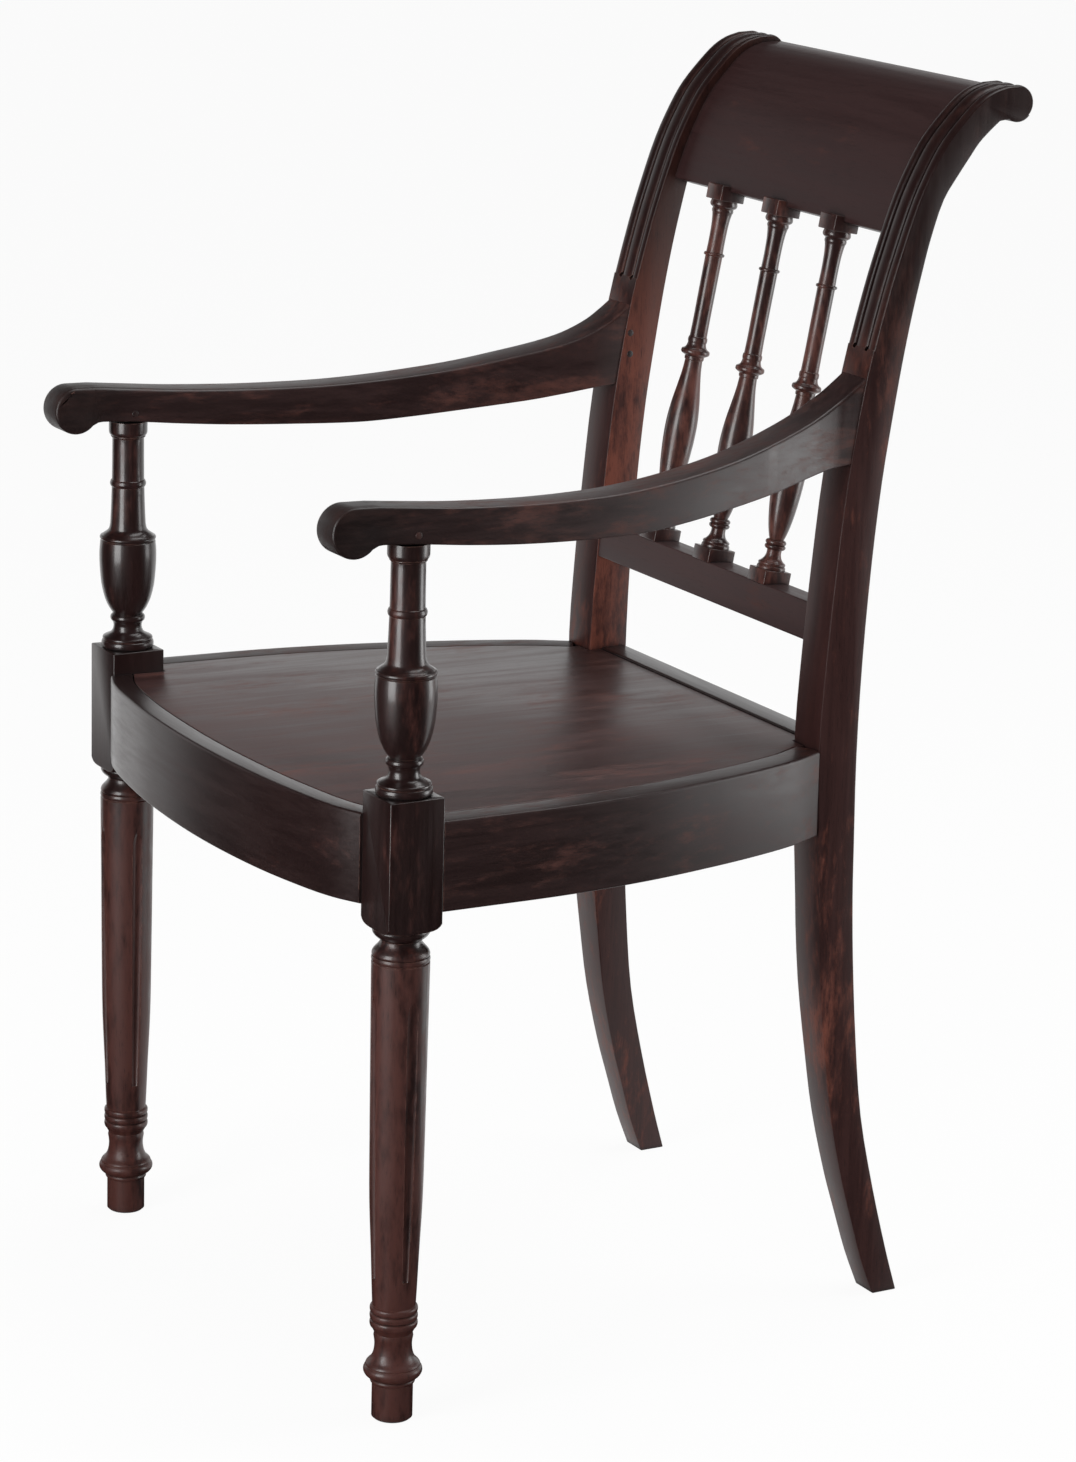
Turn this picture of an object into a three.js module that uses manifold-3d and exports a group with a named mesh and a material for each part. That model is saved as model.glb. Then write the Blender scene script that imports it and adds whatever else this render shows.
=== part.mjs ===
// Scroll-back elbow chair with turned front legs and a boarded seat.
// Millimetres, +Z up, the chair faces -Y, and its left and right are the sitter's (+X is left).
import * as THREE from 'three';
import { mergeVertices } from 'three/addons/utils/BufferGeometryUtils.js';
import Module from 'manifold-3d';

const wasm = await Module();
wasm.setup();

// Joints and cuts
const joint_gap = 0.3;
const cut_overrun = 6;
const peg_radius = 2.8;
const pin_radius = 3;
const peg_facets = 12;

// Stance: everything is measured from the line through the two front leg axes
const leg_spacing = 465;
const seat_depth = 375.5;
const stile_spacing = 342.5;
const stile_width = 35.5;
const back_height = 487.5;
const stile_sweep = 164.5;
const scroll_radius = 13.7;
const foot_taper = 11.5;
const taper_height = 300;

// Outline of a rear upright: shares of its height, and of its sweep behind the seat's back line
const stile_front_shares = [
  [0, 0.438], [0.032, 0.365], [0.069, 0.298], [0.104, 0.237], [0.159, 0.161], [0.209, 0.1155],
  [0.274, 0.067], [0.3445, 0.0395], [0.425, 0.009], [0.484, 0], [0.551, 0.0195], [0.624, 0.052],
  [0.696, 0.094], [0.776, 0.17], [0.84, 0.262], [0.877, 0.328], [0.913, 0.402], [0.941, 0.481],
  [0.959, 0.547], [0.978, 0.647], [0.989, 0.717], [0.9957, 0.784], [0.9993, 0.857],
];
const stile_back_shares = [
  [0.9724, 0.821], [0.965, 0.769], [0.956, 0.714], [0.945, 0.666], [0.932, 0.611], [0.913, 0.538],
  [0.8835, 0.479], [0.859, 0.443], [0.826, 0.4], [0.787, 0.358], [0.744, 0.319],
  [0.692, 0.277], [0.627, 0.242], [0.5475, 0.216], [0.468, 0.207], [0.39, 0.216],
  [0.351, 0.222], [0.2965, 0.24], [0.2255, 0.2765], [0.1595, 0.325], [0.0957, 0.41],
  [0.035, 0.5075], [0, 0.571],
];
const scroll_centre_share = 0.918;
const scroll_wrap = THREE.MathUtils.degToRad(-125);
const reed_groove_depth = 1.5;
const reed_groove_width = 2.6;
const reed_spacing = 15.2;
const reed_rise = 15;

// Seat frame
const seat_drop = 17;
const seat_fall = 5.2;
const rail_height = 66.5;
const front_rail_thickness = 25;
const front_border = 17;
const front_bow = 29;
const front_bow_shares = [
  [-1, 0], [-0.87, 0.38], [-0.71, 0.62], [-0.41, 0.88], [0, 1],
  [0.41, 0.88], [0.71, 0.62], [0.87, 0.38], [1, 0],
];
const side_rail_thickness = 28;
const rail_runout = 15;
const side_border = 21;
const side_taper_shares = [
  [0, 0], [0.11, 0.012], [0.25, 0.03], [0.364, 0.078], [0.505, 0.18], [0.632, 0.32],
  [0.779, 0.522], [0.917, 0.771], [1, 1],
];
const rear_rail_thickness = 21.5;
const rear_rail_setback = 11;
const rear_rail_lift = 1.5;
const panel_thickness = 12;
const rail_tenon_length = 13;
const rail_tenon_thickness = 10;
const rail_tenon_height = 42;

// Front legs: one turning from the floor to the arm, square where the rails join it
const foot_height = 27.5;
const foot_radius = 15;
const foot_shares = [[0, 0.9], [0.06, 1], [1, 1]];
const bulb_height = 39;
const bulb_radius = 21.2;
const bulb_shares = [
  [0.03, 0.73], [0.11, 0.79], [0.21, 0.915], [0.31, 0.99], [0.41, 0.965], [0.51, 0.85],
  [0.61, 0.75], [0.71, 0.675], [0.82, 0.648], [0.92, 0.65],
];
const ring_band_height = 21;
const ring_radius = 17.5;
const ring_band_shares = [
  [0, 0.8], [0.14, 0.9], [0.26, 0.985], [0.36, 1], [0.45, 0.99], [0.49, 0.95], [0.53, 0.99],
  [0.62, 1], [0.7, 0.99], [0.74, 0.95], [0.78, 0.99], [0.87, 1], [0.96, 0.98], [1, 0.925],
];
const shaft_height = 264.5;
const shaft_radius = 21;
const shaft_shares = [
  [0.06, 0.79], [0.155, 0.831], [0.3, 0.912], [0.444, 0.94], [0.73, 0.973], [0.97, 1],
  [0.978, 0.97], [0.985, 0.997], [1, 1],
];
const neck_height = 20.5;
const neck_shares = [
  [0.083, 0.97], [0.156, 0.908], [0.244, 0.83], [0.337, 0.767], [0.439, 0.724], [0.585, 0.72],
  [0.7, 0.79], [0.78, 0.9], [0.88, 0.985], [1, 1],
];
const block_width = 42;
const block_height = 97.5;
const shoulder_height = 6;
const core_shares = [[0.02, 0.8], [0.98, 0.8]];
const shoulder_shares = [[0, 0.99], [0.05, 1.12], [0.25, 1.27], [0.6, 1.38], [1, 1.43]];
const base_height = 21;
const base_radius = 20.3;
const base_shares = [
  [0, 0.95], [0.07, 1], [0.27, 1], [0.3, 0.96], [0.34, 0.97], [0.42, 0.9], [0.54, 0.69],
  [0.65, 0.59], [0.81, 0.55], [1, 0.57],
];
const low_ring_height = 6;
const low_ring_radius = 13.3;
const low_ring_shares = [[0, 0.86], [0.2, 0.98], [0.5, 1], [0.8, 0.98], [1, 0.87]];
const urn_height = 63;
const urn_radius = 21.5;
const urn_shares = [
  [0.03, 0.56], [0.08, 0.65], [0.19, 0.795], [0.3, 0.875], [0.42, 0.93], [0.64, 0.986],
  [0.77, 1], [0.89, 0.985], [0.92, 0.94], [0.95, 0.958], [1, 0.95],
];
const lip_height = 7;
const lip_shares = [[0.2, 0.98], [0.45, 0.88], [0.75, 0.72], [1, 0.66]];
const low_shaft_height = 31;
const low_shaft_radius = 13.5;
const low_shaft_shares = [[0.1, 0.97], [0.45, 0.926], [1, 0.86]];
const mid_ring_height = 6.5;
const mid_ring_radius = 13;
const mid_ring_shares = [[0.15, 0.97], [0.5, 1], [0.85, 0.97], [1, 0.91]];
const high_shaft_height = 33;
const high_shaft_radius = 11.9;
const high_shaft_shares = [[0.5, 0.99], [1, 0.975]];
const collar_height = 18;
const collar_radius = 14;
const collar_shares = [[0.06, 0.93], [0.16, 0.98], [0.3, 1], [1, 1]];
const leg_facets = 16;
const flute_count = 4;
const flute_foot_margin = 21.5;
const flute_head_margin = 27;
const flute_top_radius = 5.5;
const flute_foot_radius = 2.6;
const flute_depth = 2;
const flute_foot_shares = [[0, 0], [0.3, 0.7], [1, 1]];
const flute_head_shares = [[0, 1], [0.7, 0.7], [1, 0]];
const flute_facets = 8;

// Arms: sawn from the side and in plan, swept up to the uprights
const arm_seating = 4.5;
const arm_overhang = 66;
const arm_rise = 79;
const arm_end_overlap = 0.85;
const arm_front_width = 26.5;
const arm_end_inset = 1;
const nose_radius = 18;
const nose_drop = 6.2;
const arm_top_shares = [
  [0.0764, 0.372], [0.14, 0.337], [0.208, 0.301], [0.278, 0.276], [0.348, 0.259], [0.418, 0.253],
  [0.49, 0.257], [0.569, 0.285], [0.65, 0.334], [0.73, 0.403], [0.803, 0.494], [0.862, 0.58],
  [0.909, 0.671], [0.953, 0.801], [0.979, 0.905], [1, 1], [1.03, 1.16],
];
const arm_foot_shares = [
  [1.03, 0.205], [0.989, 0.19], [0.938, 0.161], [0.892, 0.114], [0.82, 0.038], [0.713, -0.043],
  [0.611, -0.106], [0.533, -0.133], [0.42, -0.119], [0.314, -0.089], [0.225, -0.046],
  [0.159, -0.005], [0.119, 0.0165], [0.075, 0.033],
];
const arm_bend_shares = [
  [-0.02, -0.012], [0.14, -0.012], [0.278, 0.02], [0.418, 0.1], [0.53, 0.21], [0.65, 0.385], [0.773, 0.62],
  [0.862, 0.83], [0.911, 0.935], [0.953, 0.99], [1.04, 1],
];
const nose_start = THREE.MathUtils.degToRad(90);
const nose_end = THREE.MathUtils.degToRad(320);
const post_tenon_radius = 9;
const post_tenon_length = 17;
const pin_rise_share = 0.4;
const arm_tenon_thickness = 12;
const arm_tenon_height = 34;
const arm_tenon_length = 13;
const arm_peg_depth = 26;

// Back: rolled crest, stay rail and spindles between the uprights
const crest_drop = 107.9;
const crest_low_recess = 9;
const crest_high_recess = 5;
const crest_thickness = 18;
const crest_tail = 5;
const crest_tenon_length = 12;
const crest_tenon_depth = 14;
const crest_tenon_thickness = 7;
const crest_tenon_height = 38;
const crest_tenon_rise = 42;
const stay_rise = 72.5;
const stay_height = 29.5;
const stay_depth = 22;
const stay_recess = 1;
const stay_tenon_length = 12;
const stay_tenon_depth = 10;
const stay_tenon_height = 18;
const spindle_spacing = 81;
const spindle_base_width = 21.5;
const spindle_base_height = 9.5;
const spindle_head_width = 21;
const spindle_head_height = 7.5;
const spindle_head_share = 0.35;
const spindle_radius = 11.8;
const spindle_shares = [
  [0, 0.84], [0.014, 0.88], [0.02, 0.82], [0.028, 0.78], [0.038, 0.56], [0.047, 0.48], [0.057, 0.48],
  [0.062, 0.66], [0.07, 0.68], [0.073, 0.6], [0.079, 0.67], [0.086, 0.64], [0.089, 0.46],
  [0.099, 0.56], [0.129, 0.72], [0.173, 0.86], [0.233, 0.97], [0.283, 1], [0.336, 0.97], [0.39, 0.88],
  [0.443, 0.7], [0.496, 0.57], [0.52, 0.58], [0.531, 0.82], [0.544, 0.88], [0.556, 0.78],
  [0.562, 0.62], [0.579, 0.6], [0.603, 0.5], [0.709, 0.53], [0.818, 0.53], [0.823, 0.65],
  [0.84, 0.65], [0.846, 0.53], [0.922, 0.53], [0.949, 0.6], [0.965, 0.66], [0.978, 0.86],
  [0.988, 0.9], [1, 0.9],
];
const spindle_foot_shares = [[0, 0.84]];
const spindle_end_shares = [[1, 0.9]];
const spindle_pin_radius = 3;
const spindle_pin_length = 7;
const spindle_facets = 12;

// Inside corners of the seat frame
const corner_block_height = 38;
const corner_block_reach = 62;
const front_screw_share = 0.27;
const side_screw_share = 0.28;
const rear_screw_share = 0.46;
const rear_side_screw_share = 0.49;
const screw_head_radius = 4;
const screw_head_height = 2.4;
const screw_radius = 2;
const screw_tip = 3;
const screw_length = 26;
const screw_bite = 11;
const screw_facets = 10;

// Places that follow from the sizes above
const leg_x = leg_spacing / 2;
const block_half = block_width / 2;
const leg_sections = [
  [foot_height, foot_radius, foot_shares],
  [bulb_height, bulb_radius, bulb_shares],
  [ring_band_height, ring_radius, ring_band_shares],
  [shaft_height, shaft_radius, shaft_shares],
  [neck_height, shaft_radius, neck_shares],
  [block_height, block_half, core_shares],
  [base_height, base_radius, base_shares],
  [low_ring_height, low_ring_radius, low_ring_shares],
  [urn_height, urn_radius, urn_shares],
  [lip_height, base_radius, lip_shares],
  [low_shaft_height, low_shaft_radius, low_shaft_shares],
  [mid_ring_height, mid_ring_radius, mid_ring_shares],
  [high_shaft_height, high_shaft_radius, high_shaft_shares],
  [collar_height, collar_radius, collar_shares],
];
const leg_top = leg_sections.reduce((sum, [height]) => sum + height, 0);
const shaft_foot = foot_height + bulb_height + ring_band_height;
const shaft_top = shaft_foot + shaft_height;
const block_foot = shaft_top + neck_height;
const seat_height = block_foot + block_height - seat_drop;
const arm_underside = leg_top - arm_seating;
const post_top = arm_underside + post_tenon_length;
const pin_z = arm_underside + post_tenon_length * pin_rise_share;
const stay_foot_height = seat_height + stay_rise;
const stile_height = seat_height + back_height;
const crest_foot_height = stile_height - crest_drop;
const reed_foot_height = arm_underside + arm_rise + reed_rise;
const stile_x = stile_spacing / 2;
const stile_outer_x = stile_x + stile_width / 2;
const stile_inner_x = stile_x - stile_width / 2;
const block_inner_x = leg_x - block_half;
const fall_slope = seat_fall / seat_depth;
const rail_foot = seat_height - rail_height;
const panel_foot = seat_height - panel_thickness;

// Materials: dark polished mahogany, worn redder where hands and backs rub it
const wood = (colour, roughness) => () =>
  new THREE.MeshStandardMaterial({ color: colour, roughness, metalness: 0 });
const frame_wood = wood(0x2a1a17, 0.34);
const arm_wood = wood(0x33201c, 0.3);
const seat_wood = wood(0x3b2a27, 0.38);
const turned_wood = wood(0x2e1b17, 0.28);
const inner_wood = wood(0x6d4a33, 0.75);
const peg_wood = wood(0x24150f, 0.5);
const screw_steel = () =>
  new THREE.MeshStandardMaterial({ color: 0x6f6a62, roughness: 0.45, metalness: 1 });

// Shapes
const point = ([x, y]) => new THREE.Vector2(x, y);
const toX = new THREE.Matrix4().makeBasis(
  new THREE.Vector3(0, 1, 0), new THREE.Vector3(0, 0, 1), new THREE.Vector3(1, 0, 0));
const toMinusY = new THREE.Matrix4().makeBasis(
  new THREE.Vector3(1, 0, 0), new THREE.Vector3(0, 0, 1), new THREE.Vector3(0, -1, 0));
const seatTilt = new THREE.Matrix4().makeShear(0, 0, 0, -fall_slope, 0, 0);

function toSolid(geometry) {
  const bare = geometry.clone();
  bare.deleteAttribute('normal');
  bare.deleteAttribute('uv');
  const merged = mergeVertices(bare);
  return new wasm.Manifold(new wasm.Mesh({
    numProp: 3,
    vertProperties: Float32Array.from(merged.attributes.position.array),
    triVerts: Uint32Array.from(merged.index.array),
  }));
}

function toGeometry(solid) {
  const mesh = solid.getMesh();
  const geometry = new THREE.BufferGeometry();
  geometry.setAttribute('position', new THREE.BufferAttribute(mesh.vertProperties, 3));
  geometry.setIndex(new THREE.BufferAttribute(mesh.triVerts, 1));
  return geometry;
}

function prism(points, length) {
  return new THREE.ExtrudeGeometry(new THREE.Shape(points), { depth: length, bevelEnabled: false });
}

// A (y, z) outline, extruded across the chair between two places on X
function acrossX(points, from, to) {
  return prism(points, Math.abs(to - from)).applyMatrix4(toX).translate(Math.min(from, to), 0, 0);
}

// An (x, z) outline, extruded through the whole depth between two places on Y
function alongY(points, from, to) {
  return prism(points, to - from).applyMatrix4(toMinusY).translate(0, to, 0);
}

// An (x, y) outline, extruded upwards
function upright(points, from, to) {
  return prism(points, to - from).translate(0, 0, from);
}

function box(width, depth, height) {
  return new THREE.BoxGeometry(width, depth, height);
}

function spline(points, steps) {
  return new THREE.SplineCurve(points).getPoints(steps);
}

// Points moved sideways from a run of points, to the left of its direction of travel
function sideways(points, distance) {
  return points.map((here, index) => {
    const before = points[Math.max(index - 1, 0)];
    const after = points[Math.min(index + 1, points.length - 1)];
    const along = after.clone().sub(before).normalize();
    const shift = typeof distance === 'function' ? distance(index / (points.length - 1)) : distance;
    return new THREE.Vector2(here.x - along.y * shift, here.y + along.x * shift);
  });
}

function arc(centre_x, centre_y, radius, from, to, steps) {
  return Array.from({ length: steps + 1 }, (unused, step) => {
    const angle = from + (to - from) * step / steps;
    return new THREE.Vector2(centre_x + radius * Math.cos(angle), centre_y + radius * Math.sin(angle));
  });
}

// Sections of a turning, stacked from below: [height, radius, shares of both]
function turned(sections, start, facets) {
  const profile = [];
  let floor = start;
  for (const [height, radius, shares] of sections) {
    for (const [rise, reach] of shares) {
      profile.push(new THREE.Vector2(radius * reach, floor + height * rise));
    }
    floor += height;
  }
  const foot = new THREE.Vector2(0, profile[0].y);
  const head = new THREE.Vector2(0, profile[profile.length - 1].y);
  return new THREE.LatheGeometry([foot, ...profile, head], facets).rotateX(Math.PI / 2);
}

const rod_shares = [[0, 1], [1, 1]];
const head_shares = [[1, 1]];

function rod(radius, from, to, facets) {
  return turned([[to - from, radius, rod_shares]], from, facets);
}

// A rod across the chair, from a place for a signed length
function rodAcross(place, length, radius) {
  const geometry = rod(radius, 0, Math.abs(length), peg_facets);
  return toSolid(geometry.rotateY(Math.sign(length) * Math.PI / 2).translate(place.x, place.y, place.z));
}

// Rear uprights
const stilePoint = ([rise, back]) =>
  new THREE.Vector2(seat_depth + back * stile_sweep, rise * stile_height);
const scroll_y = seat_depth + scroll_centre_share * stile_sweep;
const scroll_z = stile_height - scroll_radius;
const stile_front = spline(stile_front_shares.map(stilePoint), 46);
const scroll_arc = arc(scroll_y, scroll_z, scroll_radius, Math.PI / 2, scroll_wrap, 9);
const stile_back = spline(stile_back_shares.map(stilePoint), 40);
const stile_outline = [...stile_front, ...scroll_arc, ...stile_back];

function frontAt(height) {
  const above = stile_front.findIndex((place) => place.y >= height);
  const low = stile_front[above - 1];
  const high = stile_front[above];
  return low.x + (high.x - low.x) * (height - low.y) / (high.y - low.y);
}

// The front curve above a height, starting exactly there, and some points of the scroll
function frontAbove(height, scroll_points) {
  const rest = stile_front.filter((place) => place.y > height);
  return [new THREE.Vector2(frontAt(height), height), ...rest, ...scroll_arc.slice(0, scroll_points)];
}

// All that lies behind the front of the uprights, across the whole chair
function behindStiles(grow) {
  const far = seat_depth + 2 * stile_sweep;
  const outline = [...sideways(stile_front, grow), new THREE.Vector2(far, stile_height),
    new THREE.Vector2(far, 0)];
  return toSolid(acrossX(outline, -leg_spacing, leg_spacing));
}

function stileSolid(side, cutters) {
  const low_inner = stile_inner_x + foot_taper;
  const face = [
    [stile_outer_x, 0], [stile_outer_x, stile_height + cut_overrun],
    [stile_inner_x, stile_height + cut_overrun], [stile_inner_x, taper_height], [low_inner, 0],
  ].map(([x, z]) => new THREE.Vector2(side * x, z));
  let body = toSolid(acrossX(stile_outline, side * stile_inner_x, side * stile_outer_x));
  body = body.intersect(toSolid(alongY(face, 0, seat_depth + 2 * stile_sweep)));
  const run = frontAbove(reed_foot_height, 5);
  const groove = [...sideways(run, cut_overrun), ...sideways(run, -reed_groove_depth).reverse()];
  for (const place of [-reed_spacing / 2, reed_spacing / 2]) {
    const middle = side * stile_x + place;
    const from = middle - reed_groove_width / 2;
    body = body.subtract(toSolid(acrossX(groove, from, from + reed_groove_width)));
  }
  for (const cutter of cutters) body = body.subtract(cutter);
  return body;
}

// Seat frame, drawn level and then tipped back by the fall of the seat
const side_taper = leg_x + block_half - stile_outer_x;
const side_run = seat_depth - block_half;

// Both ends of a run of points carried on in a straight line
function carriedOn(points) {
  const beyond = (end, before) =>
    end.clone().add(end.clone().sub(before).setLength(rail_runout));
  const last = points.length - 1;
  return [beyond(points[0], points[1]), ...points, beyond(points[last], points[last - 1])];
}

function frontCurve(inset) {
  const reach = block_inner_x + cut_overrun;
  const places = front_bow_shares.map(([across, bow]) =>
    new THREE.Vector2(across * reach, -block_half - bow * front_bow));
  return sideways(carriedOn(spline(places, 16)), inset);
}

function sideCurve(side, inset) {
  const places = side_taper_shares.map(([run, inward]) =>
    new THREE.Vector2(leg_x + block_half - inward * side_taper, block_half + run * side_run));
  return sideways(carriedOn(spline(places, 16)), inset)
    .map((place) => new THREE.Vector2(side * place.x, place.y));
}

function legClearance(side, grow) {
  const size = block_width + 2 * grow;
  return toSolid(box(size, size, 2 * stile_height).translate(side * leg_x, 0, 0));
}

function stileClearance(side, grow) {
  const outline = sideways([...stile_outline, stile_outline[0]], grow);
  const from = side * stile_x - stile_width / 2 - grow;
  return toSolid(acrossX(outline, from, from + stile_width + 2 * grow));
}

// A tenon is a box; the mortise is the same box grown by the gap
function tenon(width, depth, height, grow, place) {
  return box(width + 2 * grow, depth + 2 * grow, height + 2 * grow).translate(...place);
}

const rail_tenon_z = panel_foot - rail_tenon_height / 2 - 2 * joint_gap;

function frontTenon(side, grow) {
  const x = side * block_inner_x;
  const y = -block_half + front_rail_thickness / 2;
  return toSolid(tenon(2 * rail_tenon_length, rail_tenon_thickness, rail_tenon_height, grow,
    [x, y, rail_tenon_z]).applyMatrix4(seatTilt));
}

function sideFrontTenon(side, grow) {
  const x = side * (leg_x + block_half - side_rail_thickness / 2);
  return toSolid(tenon(rail_tenon_thickness, 2 * rail_tenon_length, rail_tenon_height, grow,
    [x, block_half, rail_tenon_z]).applyMatrix4(seatTilt));
}

function sideRearTenon(side, grow) {
  const x = side * (stile_outer_x - side_rail_thickness / 2);
  return toSolid(tenon(rail_tenon_thickness, 2 * rail_tenon_length, rail_tenon_height, grow,
    [x, seat_depth, rail_tenon_z]).applyMatrix4(seatTilt));
}

function rearTenon(side, grow) {
  const y = seat_depth + rear_rail_setback + rear_rail_thickness / 2;
  return toSolid(tenon(2 * rail_tenon_length, rail_tenon_thickness, rail_tenon_height, grow,
    [side * stile_inner_x, y, rail_tenon_z]).applyMatrix4(seatTilt));
}

function panelOutline(grow) {
  const front = frontCurve(front_border - grow).slice(1, -1);
  const right = sideCurve(1, side_border - grow).slice(1);
  const left = sideCurve(-1, side_border - grow).slice(1);
  const back = seat_depth + rear_rail_setback - joint_gap + grow;
  const inner = stile_inner_x;
  return [
    ...front, ...right, new THREE.Vector2(inner, right[right.length - 1].y),
    new THREE.Vector2(inner, back), new THREE.Vector2(-inner, back),
    new THREE.Vector2(-inner, left[left.length - 1].y), ...left.reverse(),
  ];
}

function tipped(points, from, to) {
  return toSolid(upright(points, from, to).applyMatrix4(seatTilt));
}

function seatPanel() {
  let body = tipped(panelOutline(0), panel_foot, seat_height);
  for (const side of [-1, 1]) {
    body = body.subtract(legClearance(side, joint_gap)).subtract(stileClearance(side, joint_gap));
  }
  return body;
}

function frontRail(cutters) {
  const outline = [...frontCurve(0), ...frontCurve(front_rail_thickness).reverse()];
  let body = tipped(outline, rail_foot, seat_height);
  const reach = block_inner_x - joint_gap;
  body = body.intersect(toSolid(box(2 * reach, seat_depth, 2 * stile_height)));
  body = body.subtract(tipped(panelOutline(joint_gap), panel_foot - joint_gap, stile_height));
  for (const side of [-1, 1]) body = body.add(frontTenon(side, 0));
  for (const cutter of cutters) body = body.subtract(cutter);
  return body;
}

function sideRail(side, cutters) {
  const outline = [...sideCurve(side, 0), ...sideCurve(side, side_rail_thickness).reverse()];
  let body = tipped(outline, rail_foot, seat_height);
  body = body.subtract(tipped(panelOutline(joint_gap), panel_foot - joint_gap, stile_height));
  const start = block_half + joint_gap;
  const length = seat_depth + stile_sweep;
  const behind_leg = box(leg_spacing + 2 * block_width, length, 2 * stile_height);
  body = body.intersect(toSolid(behind_leg.translate(0, start + length / 2, 0)));
  body = body.subtract(behindStiles(joint_gap)).add(sideFrontTenon(side, 0)).add(sideRearTenon(side, 0));
  for (const cutter of cutters) body = body.subtract(cutter);
  return body;
}

function rearRail(cutters) {
  const low = seat_depth + rear_rail_setback;
  const high = low + rear_rail_thickness;
  const reach = stile_inner_x - joint_gap;
  const outline = [[-reach, low], [reach, low], [reach, high], [-reach, high]].map(point);
  let body = tipped(outline, rail_foot, seat_height + rear_rail_lift);
  for (const side of [-1, 1]) body = body.add(rearTenon(side, 0));
  for (const cutter of cutters) body = body.subtract(cutter);
  return body;
}

// Corner blocks and their screws
const corner_top = panel_foot - joint_gap;
const corner_z = corner_top - corner_block_height / 2;
const rear_rail_face = seat_depth + rear_rail_setback;

// Where a curve in plan crosses a value of one of its coordinates
function crossing(points, key, other, value) {
  const index = points.findIndex((place, step) =>
    step > 0 && (points[step - 1][key] - value) * (place[key] - value) <= 0);
  const from = points[index - 1];
  const to = points[index];
  return from[other] + (to[other] - from[other]) * (value - from[key]) / (to[key] - from[key]);
}

function cornerBlock(side, at_front, cutters) {
  const reach = corner_block_reach;
  const rear_back = rear_rail_face + rear_rail_thickness;
  const corners = at_front
    ? [[leg_x + block_half, -block_half], [leg_x + block_half, block_half + reach],
      [block_inner_x - reach, -block_half]]
    : [[stile_outer_x, rear_back], [stile_outer_x, seat_depth - reach],
      [stile_inner_x - reach, rear_rail_face], [stile_inner_x - reach, rear_back]];
  const outline = corners.map(([x, y]) => new THREE.Vector2(side * x, y));
  let body = tipped(outline, corner_top - corner_block_height, corner_top);
  const front_band = [...frontCurve(-block_half), ...frontCurve(front_rail_thickness + joint_gap).reverse()];
  const side_band = [...sideCurve(side, -block_width),
    ...sideCurve(side, side_rail_thickness + joint_gap).reverse()];
  const across = stile_inner_x + block_width;
  const rear_band = [[-across, rear_rail_face - joint_gap], [across, rear_rail_face - joint_gap],
    [across, rear_back + block_width], [-across, rear_back + block_width]].map(point);
  for (const band of at_front ? [front_band, side_band] : [side_band, rear_band]) {
    body = body.subtract(tipped(band, 0, stile_height));
  }
  body = body.subtract(legClearance(side, joint_gap)).subtract(stileClearance(side, joint_gap));
  for (const cutter of cutters) body = body.subtract(cutter);
  return body;
}

// A screw's profile from its head; grown and left open behind the head, it is the hole
function screwShape(grow, open) {
  const head = screw_head_radius + grow;
  const shank = screw_radius + grow;
  const profile = [
    [0, -open], [head, -open], [head, grow], [shank, screw_head_height + grow],
    [shank, screw_length - screw_tip + grow], [0, screw_length + 2 * grow],
  ].map(point);
  return new THREE.LatheGeometry(profile, screw_facets).rotateX(Math.PI / 2);
}

// Head place and direction of one screw: into the side rail, or into the front or rear rail
function screwSeat(side, at_front, into_side) {
  const reach = corner_block_reach;
  const inside = sideCurve(side, side_rail_thickness);
  const back_off = screw_length - screw_bite;
  if (into_side) {
    const y = at_front ? block_half + side_screw_share * reach : seat_depth - rear_side_screw_share * reach;
    return { x: crossing(inside, 'y', 'x', y) - side * back_off, y, turn: ['rotateY', side * Math.PI / 2] };
  }
  if (at_front) {
    const x = side * (block_inner_x - front_screw_share * reach);
    const y = crossing(frontCurve(front_rail_thickness), 'x', 'y', x) + back_off;
    return { x, y, turn: ['rotateX', Math.PI / 2] };
  }
  const x = side * (stile_inner_x - rear_screw_share * reach);
  return { x, y: rear_rail_face - back_off, turn: ['rotateX', -Math.PI / 2] };
}

function screwSolid(side, at_front, into_side, grow, open) {
  const seat = screwSeat(side, at_front, into_side);
  const [turn, angle] = seat.turn;
  const geometry = screwShape(grow, open);
  geometry[turn](angle);
  return toSolid(geometry.translate(seat.x, seat.y, corner_z - seat.y * fall_slope));
}

// Front legs
function fluteCutter(angle) {
  const length = shaft_height - flute_foot_margin - flute_head_margin;
  const sections = [
    [flute_foot_radius, flute_foot_radius, flute_foot_shares],
    [length - flute_foot_radius - flute_top_radius, flute_top_radius, head_shares],
    [flute_top_radius, flute_top_radius, flute_head_shares],
  ];
  const foot_place = shaft_radius * shaft_shares[0][1] + flute_foot_radius - flute_depth;
  const head_place = shaft_radius + flute_top_radius - flute_depth;
  return toSolid(turned(sections, 0, flute_facets).rotateY(Math.atan2(head_place - foot_place, length))
    .translate(foot_place, 0, shaft_foot + flute_foot_margin).rotateZ(angle));
}

function postTenon(side, grow) {
  return toSolid(rod(post_tenon_radius + grow, arm_underside - cut_overrun, post_top + grow, leg_facets)
    .translate(side * leg_x, 0, 0));
}

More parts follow.
